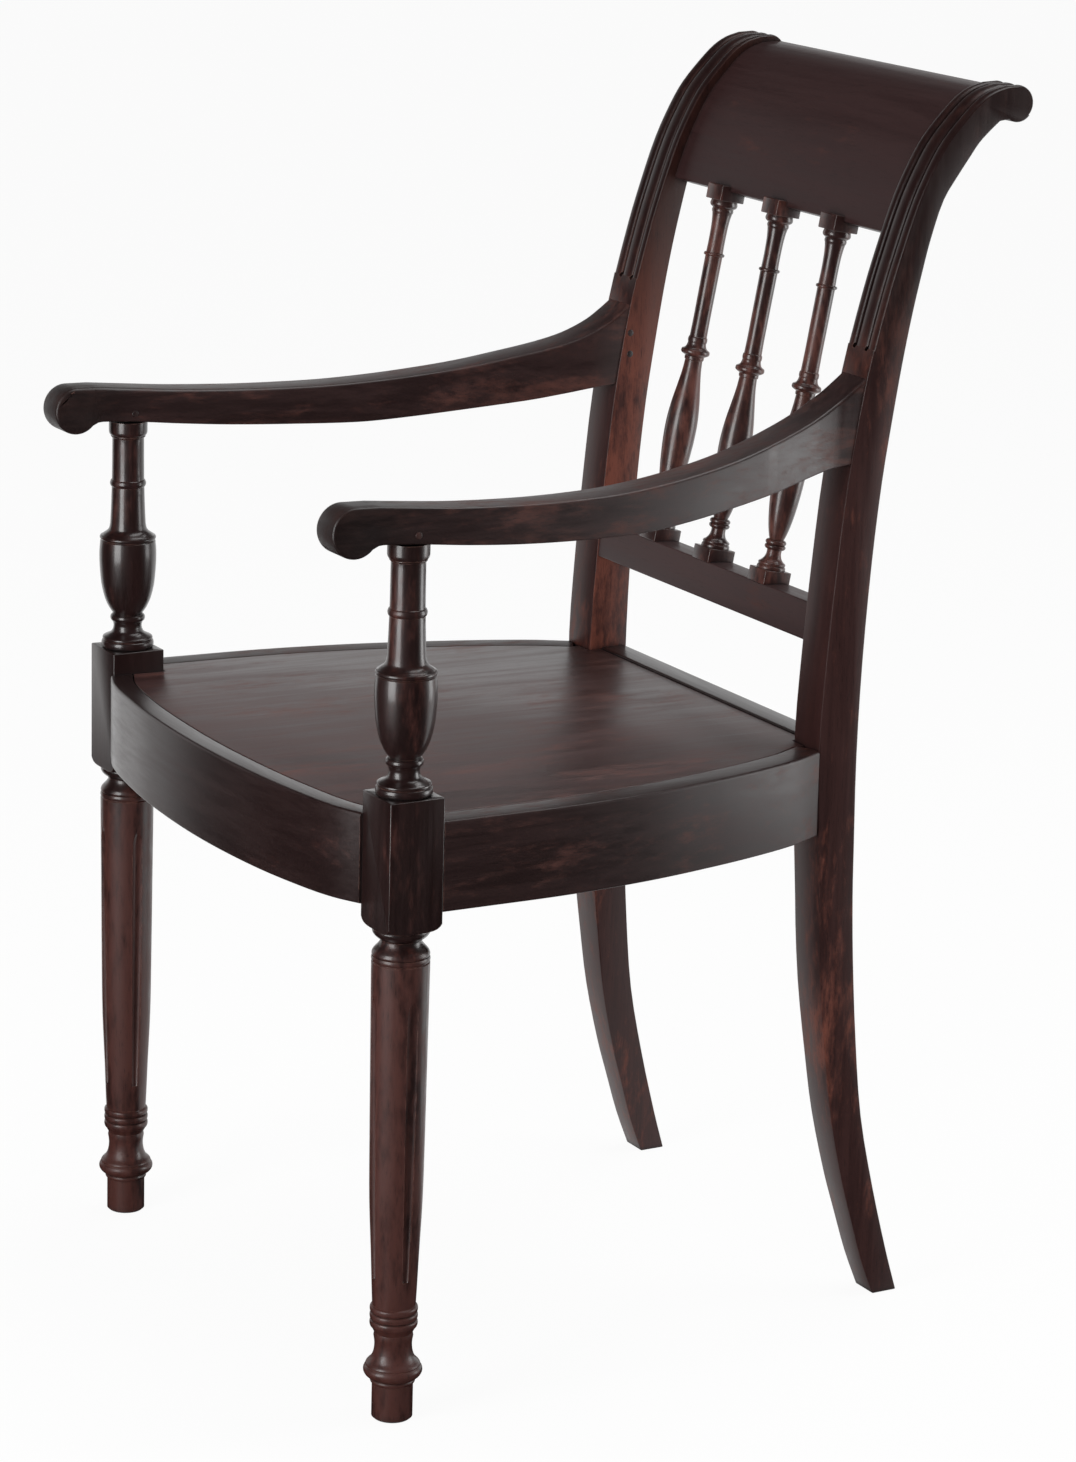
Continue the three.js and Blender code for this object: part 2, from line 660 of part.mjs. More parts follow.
function frontLeg(side, cutters) {
  let body = toSolid(turned(leg_sections, 0, leg_facets));
  for (let index = 0; index < flute_count; index += 1) {
    body = body.subtract(fluteCutter(index * 2 * Math.PI / flute_count));
  }
  const shoulder = [
    [shoulder_height, block_half, shoulder_shares],
    [block_height - shoulder_height, block_width, rod_shares],
  ];
  const block = toSolid(box(block_width, block_width, block_height)
    .translate(0, 0, block_foot + block_height / 2))
    .intersect(toSolid(turned(shoulder, block_foot, leg_facets)));
  body = body.add(block).translate(side * leg_x, 0, 0);
  body = body.subtract(toSolid(acrossX(armOutline(joint_gap), side * leg_x - block_width,
    side * leg_x + block_width)));
  body = body.add(postTenon(side, 0));
  for (const cutter of cutters) body = body.subtract(cutter);
  return body;
}

// Arms, run back as far as the front of the uprights at the height of their ends
const arm_run = arm_overhang + frontAt(arm_underside + arm_rise) + arm_end_overlap;
const armPoint = ([run, rise]) =>
  new THREE.Vector2(run * arm_run - arm_overhang, arm_underside + rise * arm_rise);

function armOutline(grow) {
  const nose_y = nose_radius - arm_overhang;
  const nose_z = arm_underside - nose_drop + nose_radius;
  const outline = [
    ...spline(arm_foot_shares.map(armPoint), 26),
    ...arc(nose_y, nose_z, nose_radius, nose_end, nose_start, 14),
    ...spline(arm_top_shares.map(armPoint), 34),
  ];
  return grow ? sideways(outline, grow) : outline;
}

function armPlan(side) {
  const centre = spline(arm_bend_shares.map(([run, bend]) => new THREE.Vector2(
    leg_x - bend * (leg_x - stile_x), run * arm_run - arm_overhang)), 16);
  const half = (along) =>
    (arm_front_width + (stile_width - 2 * arm_end_inset - arm_front_width) * along) / 2;
  const inner = sideways(centre, half);
  const outer = sideways(centre, (along) => -half(along));
  return [...inner, ...outer.reverse()].map((place) => new THREE.Vector2(side * place.x, place.y));
}

const arm_tenon_z = arm_underside + arm_rise * (arm_foot_shares[1][1] + 1) / 2;

function armTenon(side, grow) {
  return toSolid(tenon(arm_tenon_thickness, 2 * arm_tenon_length, arm_tenon_height, grow,
    [side * stile_x, frontAt(arm_tenon_z), arm_tenon_z]));
}

function armPin(side, grow) {
  const reach = arm_front_width / 2 + grow;
  return rodAcross({ x: side * leg_x - reach, y: 0, z: pin_z }, 2 * reach, pin_radius + grow);
}

function armPeg(side, rise, grow) {
  const z = arm_tenon_z + rise * arm_tenon_height / 4;
  const place = { x: side * (stile_inner_x - grow), y: frontAt(arm_tenon_z) + arm_tenon_length / 2, z };
  return rodAcross(place, side * (arm_peg_depth + 2 * grow), peg_radius + grow);
}

function arm(side, cutters) {
  let body = toSolid(acrossX(armOutline(0), 0, side * (leg_x + block_width)));
  body = body.intersect(toSolid(upright(armPlan(side), 0, stile_height)));
  body = body.subtract(behindStiles(joint_gap)).add(armTenon(side, 0));
  for (const cutter of cutters) body = body.subtract(cutter);
  return body;
}

// Crest rail: follows the front of the uprights, set back from it, and rolls over with them
const crest_run = frontAbove(crest_foot_height, 1);
const crest_recess = (along) => crest_low_recess + (crest_high_recess - crest_low_recess) * along;
const crest_front = sideways(crest_run, (along) => -crest_recess(along));
const crest_back = sideways(crest_run, (along) => -crest_recess(along) - crest_thickness);

function crestOutline() {
  const top = crest_front[crest_front.length - 1];
  const roll = arc(top.x + crest_tail, top.y - crest_thickness / 2, crest_thickness / 2,
    Math.PI / 2, -Math.PI / 2, 8);
  return [...crest_front, ...roll, ...crest_back.slice().reverse()];
}

function crestTenon(side, grow) {
  const step = crest_run.findIndex((place) => place.y > crest_foot_height + crest_tenon_rise);
  const along = crest_run[step + 1].clone().sub(crest_run[step - 1]).normalize();
  const middle = crest_run[step];
  const y = middle.x + along.y * crest_tenon_depth;
  const z = middle.y - along.x * crest_tenon_depth;
  return toSolid(box(2 * (crest_tenon_length + grow), crest_tenon_thickness + 2 * grow,
    crest_tenon_height + 2 * grow).rotateX(-Math.atan2(along.x, along.y))
    .translate(side * stile_inner_x, y, z));
}

function crestRail(cutters) {
  const reach = stile_inner_x - joint_gap;
  let body = toSolid(acrossX(crestOutline(), -reach, reach));
  for (const side of [-1, 1]) body = body.add(crestTenon(side, 0));
  for (const cutter of cutters) body = body.subtract(cutter);
  return body;
}

// Stay rail, leaning with the uprights
const stay_front = frontAt(stay_foot_height) + stay_recess;
const stay_lean = Math.atan2(
  frontAt(stay_foot_height + stay_height) - frontAt(stay_foot_height), stay_height);

// A box placed in the stay rail's own leaning frame, measured from its lower front edge
function leaning(width, depth, height, x, inward, rise) {
  return toSolid(box(width, depth, height).translate(x, inward, rise).rotateX(-stay_lean)
    .translate(0, stay_front, stay_foot_height));
}

function stayTenon(side, grow) {
  return leaning(2 * (stay_tenon_length + grow), stay_tenon_depth + 2 * grow, stay_tenon_height + 2 * grow,
    side * stile_inner_x, stay_depth / 2, stay_height / 2);
}

function stayRail(cutters) {
  const width = 2 * (stile_inner_x - joint_gap);
  let body = leaning(width, stay_depth, stay_height, 0, stay_depth / 2, stay_height / 2);
  for (const side of [-1, 1]) body = body.add(stayTenon(side, 0));
  for (const cutter of cutters) body = body.subtract(cutter);
  return body;
}

// Spindles, from the top of the stay rail to the foot of the crest
const spindle_foot = new THREE.Vector2(stay_depth / 2, stay_height)
  .rotateAround(new THREE.Vector2(), -stay_lean).add(new THREE.Vector2(stay_front, stay_foot_height));
const spindle_head = crest_front[0].clone().lerp(crest_back[0], spindle_head_share);
const spindle_axis = spindle_head.clone().sub(spindle_foot);
const spindle_length = spindle_axis.length();
const spindle_lean = Math.atan2(spindle_axis.x, spindle_axis.y);
const crest_along = crest_run[1].clone().sub(crest_run[0]);
const crest_lean = Math.atan2(crest_along.x, crest_along.y);

function onSpindle(geometry, x) {
  return toSolid(geometry.rotateX(-spindle_lean).translate(x, spindle_foot.x, spindle_foot.y));
}

function spindlePins(x, grow) {
  const reach = spindle_pin_length + grow;
  return onSpindle(rod(spindle_pin_radius + grow, -reach, spindle_base_height / 2, spindle_facets), x)
    .add(onSpindle(rod(spindle_pin_radius + grow, spindle_length - spindle_head_height / 2,
      spindle_length + reach, spindle_facets), x));
}

function spindle(x) {
  const spare = spindle_pin_length / 2;
  const shape = turned([
    [spare, spindle_radius, spindle_foot_shares],
    [spindle_length - spindle_base_height - spindle_head_height, spindle_radius, spindle_shares],
    [spare, spindle_radius, spindle_end_shares],
  ], spindle_base_height - spare, spindle_facets);
  const base_centre = (spindle_base_height - spare) / 2;
  const head_centre = spindle_length - (spindle_head_height - spare) / 2;
  const cut_width = 2 * stile_inner_x;
  let body = onSpindle(shape, x);
  body = body.add(onSpindle(box(spindle_base_width, spindle_base_width, spindle_base_height + spare)
    .translate(0, 0, base_centre), x));
  body = body.add(onSpindle(box(spindle_head_width, spindle_head_width, spindle_head_height + spare)
    .translate(0, 0, head_centre), x));
  body = body.subtract(leaning(cut_width, 2 * stay_depth, stay_height, 0, stay_depth / 2,
    stay_height / 2 + joint_gap));
  const crest_cut = box(cut_width, 2 * stay_depth, stay_height)
    .translate(0, 0, stay_height / 2 - joint_gap).rotateX(-crest_lean)
    .translate(0, spindle_head.x, spindle_head.y);
  return body.subtract(toSolid(crest_cut)).add(spindlePins(x, 0));
}

// The assembly
const group = new THREE.Group();

function addPiece(name, body, material) {
  const mesh = new THREE.Mesh(toGeometry(body), material());
  mesh.name = name;
  group.add(mesh);
}

const sides = [['left', 1], ['right', -1]];
const ends = [['front', true], ['rear', false]];
const rails = [['side', true], ['cross', false]];
const spindles = [['left', spindle_spacing], ['centre', 0], ['right', -spindle_spacing]];

function screwHoles(side, at_front, into_side) {
  return screwSolid(side, at_front, into_side, joint_gap, corner_block_reach);
}

for (const [name, side] of sides) {
  addPiece(`front_leg_${name}`, frontLeg(side, [
    frontTenon(side, joint_gap), sideFrontTenon(side, joint_gap), armPin(side, joint_gap),
  ]), turned_wood);
  addPiece(`rear_upright_${name}`, stileSolid(side, [
    armTenon(side, joint_gap), sideRearTenon(side, joint_gap), rearTenon(side, joint_gap),
    stayTenon(side, joint_gap), crestTenon(side, joint_gap),
    armPeg(side, 1, joint_gap), armPeg(side, -1, joint_gap),
  ]), frame_wood);
  addPiece(`arm_${name}`, arm(side, [
    postTenon(side, joint_gap), armPin(side, joint_gap),
    armPeg(side, 1, joint_gap), armPeg(side, -1, joint_gap),
  ]), arm_wood);
  addPiece(`side_rail_${name}`, sideRail(side, [
    screwHoles(side, true, true), screwHoles(side, false, true),
  ]), frame_wood);
  addPiece(`arm_pin_${name}`, armPin(side, 0), peg_wood);
  addPiece(`arm_peg_upper_${name}`, armPeg(side, 1, 0), peg_wood);
  addPiece(`arm_peg_lower_${name}`, armPeg(side, -1, 0), peg_wood);
  for (const [end, at_front] of ends) {
    addPiece(`corner_block_${end}_${name}`, cornerBlock(side, at_front, [
      screwHoles(side, at_front, true), screwHoles(side, at_front, false),
    ]), inner_wood);
    for (const [rail, into_side] of rails) {
      addPiece(`${rail}_screw_${end}_${name}`, screwSolid(side, at_front, into_side, 0, 0), screw_steel);
    }
  }
}

addPiece('front_rail', frontRail(sides.map(([name, side]) => screwHoles(side, true, false))), frame_wood);
addPiece('rear_rail', rearRail(sides.map(([name, side]) => screwHoles(side, false, false))), frame_wood);
addPiece('seat_panel', seatPanel(), seat_wood);
const spindle_holes = spindles.map(([name, x]) => spindlePins(x, joint_gap));
addPiece('stay_rail', stayRail(spindle_holes), frame_wood);
addPiece('crest_rail', crestRail(spindle_holes), frame_wood);
for (const [name, x] of spindles) addPiece(`spindle_${name}`, spindle(x), turned_wood);

// The origin is on the floor, under the middle of the whole chair
const extent = new THREE.Box3().setFromObject(group);
const middle = extent.getCenter(new THREE.Vector3());
for (const mesh of group.children) mesh.geometry.translate(-middle.x, -middle.y, -extent.min.z);

export default group;
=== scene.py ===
# %% [markdown]
# # A scroll-back elbow chair in dark mahogany
# The chair is an old desk chair: turned front legs that run up to the arms, rear uprights sawn in one
# sweep from the foot to a rolled top, a back of three turned spindles and a boarded seat. The joiner's
# model gives every piece its place. This lesson makes the pieces again with a softer, older surface:
# round arrises, reeds, flutes and turnings, and a dark polish that hands have rubbed red.
#
# We load the model first. It is a fixed frame: each of our pieces sits where its plain twin sits, so
# nothing has to be fitted by eye.

# %% Load the frame
import math
import bmesh
import bpy
from mathutils import Matrix, Vector
from mathutils.geometry import interpolate_bezier


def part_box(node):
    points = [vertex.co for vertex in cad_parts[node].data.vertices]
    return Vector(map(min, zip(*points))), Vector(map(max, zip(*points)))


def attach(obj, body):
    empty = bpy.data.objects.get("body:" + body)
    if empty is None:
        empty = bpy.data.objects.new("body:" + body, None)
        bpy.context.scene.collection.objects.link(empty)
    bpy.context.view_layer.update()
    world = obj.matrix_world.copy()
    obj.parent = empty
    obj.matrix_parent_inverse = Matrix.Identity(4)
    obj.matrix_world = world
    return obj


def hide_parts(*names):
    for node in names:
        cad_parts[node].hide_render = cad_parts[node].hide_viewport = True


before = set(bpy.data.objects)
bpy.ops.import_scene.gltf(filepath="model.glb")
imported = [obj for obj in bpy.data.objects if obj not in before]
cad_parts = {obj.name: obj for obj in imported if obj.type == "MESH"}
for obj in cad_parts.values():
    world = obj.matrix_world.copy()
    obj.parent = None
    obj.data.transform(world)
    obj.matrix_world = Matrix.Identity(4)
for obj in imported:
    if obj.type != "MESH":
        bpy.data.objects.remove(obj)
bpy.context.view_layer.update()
print("the frame holds", len(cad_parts), "pieces")

# %% [markdown]
# ## Where things stand
# Blender works in metres and a chair maker in millimetres, so one unit helps. The chair faces -Y and
# its left is +X. The frame's own leg and upright give the lines that the other pieces are measured
# from: the axis of a front leg, the underside of the arm, where the leg's tenon starts, and the front
# and the width of an upright. The seat falls a little to the back, so it has a slope too.

# %% Lines of the chair
MM = 0.001
leg_low, leg_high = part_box("front_leg_left")
stile_low, stile_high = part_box("rear_upright_left")
post_tenon = 17 * MM
leg_x = (leg_low.x + leg_high.x) / 2
leg_y = (leg_low.y + leg_high.y) / 2
block_half = (leg_high.x - leg_low.x) / 2
arm_underside = leg_high.z - post_tenon
stile_outer = stile_high.x
stile_inner = stile_low.x
stile_middle = (stile_outer + stile_inner) / 2
stile_width = stile_outer - stile_inner
stile_sweep = stile_high.y - stile_low.y
chair_height = stile_high.z
back_line = stile_low.y
seat_height = 453 * MM
seat_fall, seat_run = 5.2 * MM, 375.5 * MM
seat_slope = math.atan2(seat_fall, seat_run)
print(f"leg axis at {leg_x:.4f}, {leg_y:.4f}; uprights {stile_width:.4f} wide, {chair_height:.4f} high")

# %% [markdown]
# ## The camera
# The photographer stood to the chair's front left, well back with a long lens, and looked down by
# fifteen degrees. We build the camera from those facts: turn it round the chair, tip it down, and
# roll it a little, because the real one wasn't quite level.

# %% Set up the camera
camera_turn = math.radians(60.10)
camera_tip = math.radians(15)
camera_roll = math.radians(1.58)
camera_place = Vector((2.9202, -1.6762, 1.3346))
turned_round = Matrix.Rotation(camera_turn, 3, "Z")
tipped_down = Matrix.Rotation(math.pi / 2 - camera_tip, 3, "X")
rolled = Matrix.Rotation(camera_roll, 3, "Z")
bpy.ops.object.select_all(action="DESELECT")
bpy.ops.object.camera_add(location=camera_place, rotation=(turned_round @ tipped_down @ rolled).to_euler())
camera = bpy.context.object
camera.data.lens = 111.4
camera.data.sensor_width = 36
bpy.context.scene.camera = camera
bpy.context.scene.view_settings.view_transform = "Standard"
print("camera", [round(value, 3) for value in camera.location])

# %% [markdown]
# ## Smooth lines through a few points
# A turner or a sawyer works from a pattern with few marks on it, and the tool joins them in a fair
# curve. `flow` does the same: it puts a short curve between each pair of marks, with handles that
# follow the neighbours, so the line stays fair. A mark that ends in CORNER stops the curve, as where a
# bead meets a flat.

# %% Curves
CORNER = True


def flow(marks, steps):
    """A fair curve through marks, which are Vectors."""
    if len(marks) < 3:
        return list(marks)
    line = [marks[0]]
    for index in range(len(marks) - 1):
        here, there = marks[index], marks[index + 1]
        before, after = marks[max(index - 1, 0)], marks[min(index + 2, len(marks) - 1)]
        reach = (there - here).length / 3
        leaving = here + (there - before).normalized() * reach
        arriving = there - (after - here).normalized() * reach
        line += interpolate_bezier(here, leaving, arriving, there, steps + 1)[1:]
    return line


def cornered(marks, place, steps):
    """The fair curve through marks with corners; place turns a mark's two shares into a Vector."""
    line, run = [], []
    for mark in marks:
        run.append(place(mark[0], mark[1]))
        if len(mark) > 2 or mark is marks[-1]:
            line += flow(run, steps)[1 if line else 0:]
            run = [run[-1]]
    return line


def arc(centre, radius, start, end, steps):
    """Points of an arc in the YZ plane; angles in degrees from +Y."""
    line = []
    for step in range(steps + 1):
        angle = math.radians(start + (end - start) * step / steps)
        line.append(centre + Vector((0, math.cos(angle), math.sin(angle))) * radius)
    return line


bow = flow([Vector((0, 0, 0)), Vector((0, 1, 1)), Vector((0, 2, 0))], 4)
print("a bow through 3 marks has", len(bow), "points and is", round(max(spot.z for spot in bow), 2), "high")

# %% [markdown]
# ## Tracing an outline
# Every sawn piece starts as one vertex. We add a tiny plane, merge it to its middle, and then extrude
# that vertex from mark to mark, as one draws round a pattern. Closing and filling the line gives a
# face, and extruding the face gives the plank.

# %% Trace and saw
SAME_SPOT = 0.01 * MM


def begin(name, place):
    """A new piece with a single vertex at a place, left in edit mode with that vertex selected."""
    bpy.ops.object.select_all(action="DESELECT")
    bpy.ops.mesh.primitive_plane_add(size=MM)
    piece = bpy.context.object
    piece.name = piece.data.name = name
    bpy.ops.object.mode_set(mode="EDIT")
    bpy.ops.mesh.select_mode(type="VERT")
    bpy.ops.mesh.select_all(action="SELECT")
    bpy.ops.mesh.merge(type="CENTER")
    bpy.ops.transform.translate(value=place)
    return piece


def trace(line):
    """Extrudes the selected vertex from the first point of a line to all the others."""
    for here, there in zip(line, line[1:]):
        bpy.ops.mesh.extrude_region_move(TRANSFORM_OT_translate={"value": there - here})


def trace_closed(name, line):
    """An outline that ends where it began; left in edit mode."""
    piece = begin(name, line[0])
    trace([*line, line[0]])
    bpy.ops.mesh.select_all(action="SELECT")
    bpy.ops.mesh.remove_doubles(threshold=SAME_SPOT)
    return piece


def plank(name, line, across):
    """A solid from a closed outline, extruded by the vector across; left in edit mode."""
    piece = trace_closed(name, line)
    bpy.ops.mesh.edge_face_add()
    bpy.ops.mesh.extrude_region_move(TRANSFORM_OT_translate={"value": across})
    tidy_normals()
    return piece


def tidy_normals():
    """Makes every face of the piece in edit mode look outwards."""
    bpy.ops.mesh.select_all(action="SELECT")
    bpy.ops.mesh.normals_make_consistent(inside=False)


# %% [markdown]
# ## Worn arrises
# Nothing on an old chair is sharp. The Bevel operator rounds an arris as a scraper does, and we pick
# its edges in code, by the angle between their faces or by their place. An operator acts on all that is
# selected, so everything is deselected first.

# %% Pick arrises and round them
REAL_EDGE = math.radians(32)
BLUNT, SHARP = 40, 60


def pick_edges(chosen):
    """Selects the edges of the piece in edit mode for which chosen(edge) is true."""
    mesh = bmesh.from_edit_mesh(bpy.context.object.data)
    bpy.ops.mesh.select_mode(type="EDGE")
    bpy.ops.mesh.select_all(action="DESELECT")
    for edge in mesh.edges:
        if len(edge.link_faces) == 2 and chosen(edge):
            edge.select_set(True)
    bmesh.update_edit_mesh(bpy.context.object.data)


def arris(edge, least=BLUNT):
    """True where two faces meet at more than a least angle, in degrees."""
    return edge.calc_face_angle() > math.radians(least)


def soften(width, chosen=arris):
    """Rounds the chosen edges, as an old arris is."""
    pick_edges(chosen)
    bpy.ops.mesh.bevel(offset=width, segments=3, profile=0.5, clamp_overlap=False)


def leave():
    """Back to object mode, with faces smooth except at real edges."""
    bpy.ops.object.mode_set(mode="OBJECT")
    bpy.ops.object.shade_smooth_by_angle(angle=REAL_EDGE)
    return bpy.context.object


# %% [markdown]
# ## Cutting, copying and dressing
# The Boolean modifier cuts one piece with another, as a gouge or a drill does. What the chair has twice
# is made once and mirrored, with a mesh of its own. Each finished piece then takes the place of its
# plain twin in the frame.

# %% Cut, copy and dress
def alone(piece):
    """Makes a piece the active one and the only one selected."""
    bpy.ops.object.select_all(action="DESELECT")
    bpy.context.view_layer.objects.active = piece
    piece.select_set(True)


def carve(piece, tool, how="DIFFERENCE"):
    """Cuts or joins a piece with a tool, which is used up."""
    alone(piece)
    cut = piece.modifiers.new("cut", "BOOLEAN")
    cut.object = tool
    cut.operation = how
    cut.solver = "EXACT"
    bpy.ops.object.modifier_apply(modifier=cut.name)
    bpy.data.objects.remove(tool)
    bpy.ops.object.shade_smooth_by_angle(angle=REAL_EDGE)


def copied(piece, name, mirror=False, shift=(0, 0, 0)):
    """A copy with its own mesh, moved, or mirrored across the chair's middle."""
    alone(piece)
    bpy.ops.object.duplicate()
    twin = bpy.context.object
    twin.name = twin.data.name = name
    bpy.ops.object.mode_set(mode="EDIT")
    bpy.ops.mesh.select_all(action="SELECT")
    if mirror:
        bpy.ops.transform.mirror(constraint_axis=(True, False, False), center_override=(0, 0, 0))
        bpy.ops.mesh.flip_normals()
    bpy.ops.transform.translate(value=shift)
    bpy.ops.object.mode_set(mode="OBJECT")
    return twin


dressed = {}


def dress(piece, node, slot):
    """The finished piece stands for a piece of the frame and is listed under a slot."""
    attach(piece, "root")
    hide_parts(node)
    dressed.setdefault(slot, []).append(piece)


# %% [markdown]
# ## A turning
# On the lathe a square of wood spins and a gouge draws its outline. Here the outline is traced from the
# axis at the foot to the axis at the head, and the Spin operator turns it round. A section of a turning
# is a height, a radius and a few marks, given as shares of the two, because a turner thinks in beads,
# coves and tapers that follow each other up the piece.

# %% Helpers for turnings
def turning_line(sections, floor):
    """The outline of stacked sections, in the XZ plane, from the axis to the axis."""
    line = []
    for height, radius, marks in sections:
        line += cornered(marks, lambda rise, reach: Vector((radius * reach, 0, floor + height * rise)), 3)
        floor += height
    return [Vector((0, 0, line[0].z)), *line, Vector((0, 0, line[-1].z))]


def turn(name, sections, floor=0, facets=64):
    """A turning about Z of stacked sections, which starts at a height over the floor."""
    line = turning_line(sections, floor)
    piece = begin(name, line[0])
    trace([here for index, here in enumerate(line)
           if not index or (here - line[index - 1]).length > SAME_SPOT])
    bpy.ops.mesh.select_all(action="SELECT")
    bpy.ops.mesh.spin(steps=facets, angle=2 * math.pi, center=(0, 0, 0), axis=(0, 0, 1))
    bpy.ops.mesh.select_all(action="SELECT")
    bpy.ops.mesh.remove_doubles(threshold=SAME_SPOT / 2)
    tidy_normals()
    return leave()


# %% [markdown]
# ## The front leg's turning
# From the floor up: a plain foot, a bulb, three fine rings, a long tapering shaft, a neck, then the
# square block where the rails come in, a moulded base, a ring, an urn with a lip, and a slim shaft with
# one more ring and a collar under the arm. The marks come from the outline in the photograph.

# %% Sections of the front leg
foot = (27.5 * MM, 15 * MM, [(0, 0.9, CORNER), (0.05, 1, CORNER), (1, 1, CORNER)])
bulb = (39 * MM, 21.6 * MM, [
    (0, 0.725, CORNER), (0.02, 0.75), (0.055, 0.765), (0.085, 0.74, CORNER), (0.12, 0.84), (0.17, 0.94),
    (0.235, 0.995), (0.3, 0.98), (0.345, 0.915, CORNER), (0.365, 0.925), (0.4, 0.89), (0.46, 0.78),
    (0.55, 0.69), (0.68, 0.64), (0.8, 0.635), (0.93, 0.67, CORNER)])
rings = (21 * MM, 17.5 * MM, [
    (0, 0.8, CORNER), (0.14, 0.89), (0.2, 0.93, CORNER), (0.24, 0.975), (0.34, 1), (0.44, 0.98),
    (0.48, 0.915, CORNER), (0.52, 0.98), (0.61, 1), (0.7, 0.98), (0.74, 0.915, CORNER), (0.78, 0.98),
    (0.87, 1), (0.95, 0.98), (1, 0.9, CORNER)])
shaft = (264.5 * MM, 21 * MM, [
    (0.012, 0.76, CORNER), (0.06, 0.785), (0.155, 0.831), (0.3, 0.912), (0.444, 0.94), (0.73, 0.973),
    (0.982, 1, CORNER), (0.985, 0.968, CORNER), (0.988, 0.995), (0.994, 1.005), (1, 0.985, CORNER)])
neck = (20.5 * MM, 21 * MM, [
    (0.01, 0.955, CORNER), (0.04, 0.985), (0.1, 0.99), (0.19, 0.955), (0.28, 0.88), (0.38, 0.79),
    (0.48, 0.725), (0.55, 0.705), (0.59, 0.705, CORNER), (0.62, 0.75), (0.7, 0.86), (0.8, 0.95),
    (0.9, 0.99), (1, 0.98, CORNER)])
core = (97.5 * MM, 21 * MM, [(0.02, 0.8, CORNER), (0.98, 0.8, CORNER)])
base = (21 * MM, 20.3 * MM, [
    (0, 0.93, CORNER), (0.05, 0.985), (0.16, 1.01), (0.26, 0.99), (0.31, 0.94, CORNER), (0.35, 0.965),
    (0.41, 0.95), (0.45, 0.88, CORNER), (0.49, 0.78), (0.56, 0.66), (0.65, 0.585), (0.78, 0.545),
    (0.9, 0.55), (1, 0.59, CORNER)])
low_ring = (6 * MM, 13.3 * MM, [(0, 0.9, CORNER), (0.2, 0.99), (0.5, 1.02), (0.8, 0.98), (1, 0.84, CORNER)])
urn = (63 * MM, 22.3 * MM, [
    (0.01, 0.52, CORNER), (0.05, 0.6), (0.1, 0.685), (0.19, 0.795), (0.3, 0.88), (0.42, 0.94),
    (0.64, 0.99), (0.8, 0.995), (0.93, 0.965, CORNER), (0.945, 0.93, CORNER), (0.955, 0.965),
    (0.975, 0.985), (0.993, 0.96, CORNER)])
lip = (9 * MM, 21.2 * MM, [
    (0.01, 0.95, CORNER), (0.1, 0.91), (0.24, 0.82), (0.4, 0.745), (0.6, 0.69), (1, 0.655, CORNER)])
low_shaft = (29 * MM, 13.9 * MM, [(0.02, 0.995, CORNER), (0.4, 0.955), (0.98, 0.915, CORNER)])
mid_ring = (6.5 * MM, 13.9 * MM, [
    (0.05, 0.89, CORNER), (0.15, 0.96), (0.5, 1.01), (0.85, 0.96), (0.95, 0.91, CORNER)])
high_shaft = (33 * MM, 12.6 * MM, [(0.01, 0.995, CORNER), (0.5, 0.985), (0.98, 0.98, CORNER)])
collar = (18 * MM, 15 * MM, [
    (0, 0.83, CORNER), (0.03, 0.885), (0.07, 0.9), (0.09, 0.88, CORNER), (0.12, 0.93), (0.2, 0.985),
    (0.3, 1), (0.72, 1, CORNER)])
leg_sections = [foot, bulb, rings, shaft, neck, core, base, low_ring, urn, lip, low_shaft, mid_ring,
                high_shaft, collar]
shaft_foot = foot[0] + bulb[0] + rings[0]
block_foot = shaft_foot + shaft[0] + neck[0]
block_head = block_foot + core[0]
front_leg = turn("front_leg_left_turned", leg_sections)
print("turned leg:", len(front_leg.data.polygons), "faces")

# %% [markdown]
# ## The square block and its shoulders
# The block is left square so that the rails can be tenoned into it. Where the turning starts, the
# lathe rounds the block's lower corners, so we intersect a softened cube with a wide turning. Its long
# arrises are worn round too.

# %% The block
shoulder = (5 * MM, 21 * MM, [(0, 0.97, CORNER), (0.1, 1.15), (0.35, 1.3), (0.7, 1.38), (1, 1.415)])
block_rest = (92.5 * MM, 42 * MM, [(0, 1, CORNER), (1, 1, CORNER)])
bpy.ops.object.select_all(action="DESELECT")
bpy.ops.mesh.primitive_cube_add(size=2 * block_half, location=(0, 0, (block_foot + block_head) / 2))
block = bpy.context.object
bpy.ops.object.mode_set(mode="EDIT")
bpy.ops.transform.resize(value=(1, 1, core[0] / (2 * block_half)))
soften(0.9 * MM)
leave()
bpy.ops.object.transform_apply(location=True)
carve(block, turn("shoulders", [shoulder, block_rest], block_foot), "INTERSECT")
carve(front_leg, block, "UNION")
print("leg with its block:", len(front_leg.data.polygons), "faces")

# %% [markdown]
# ## Four flutes
# A flute is cut with a gouge. It starts square and narrow at the foot, widens with the shaft and ends
# in a round below the neck. A tapered rod, leaning with the shaft's side, is the gouge's path. We turn
# a fresh rod for each quarter of the shaft and cut with it.

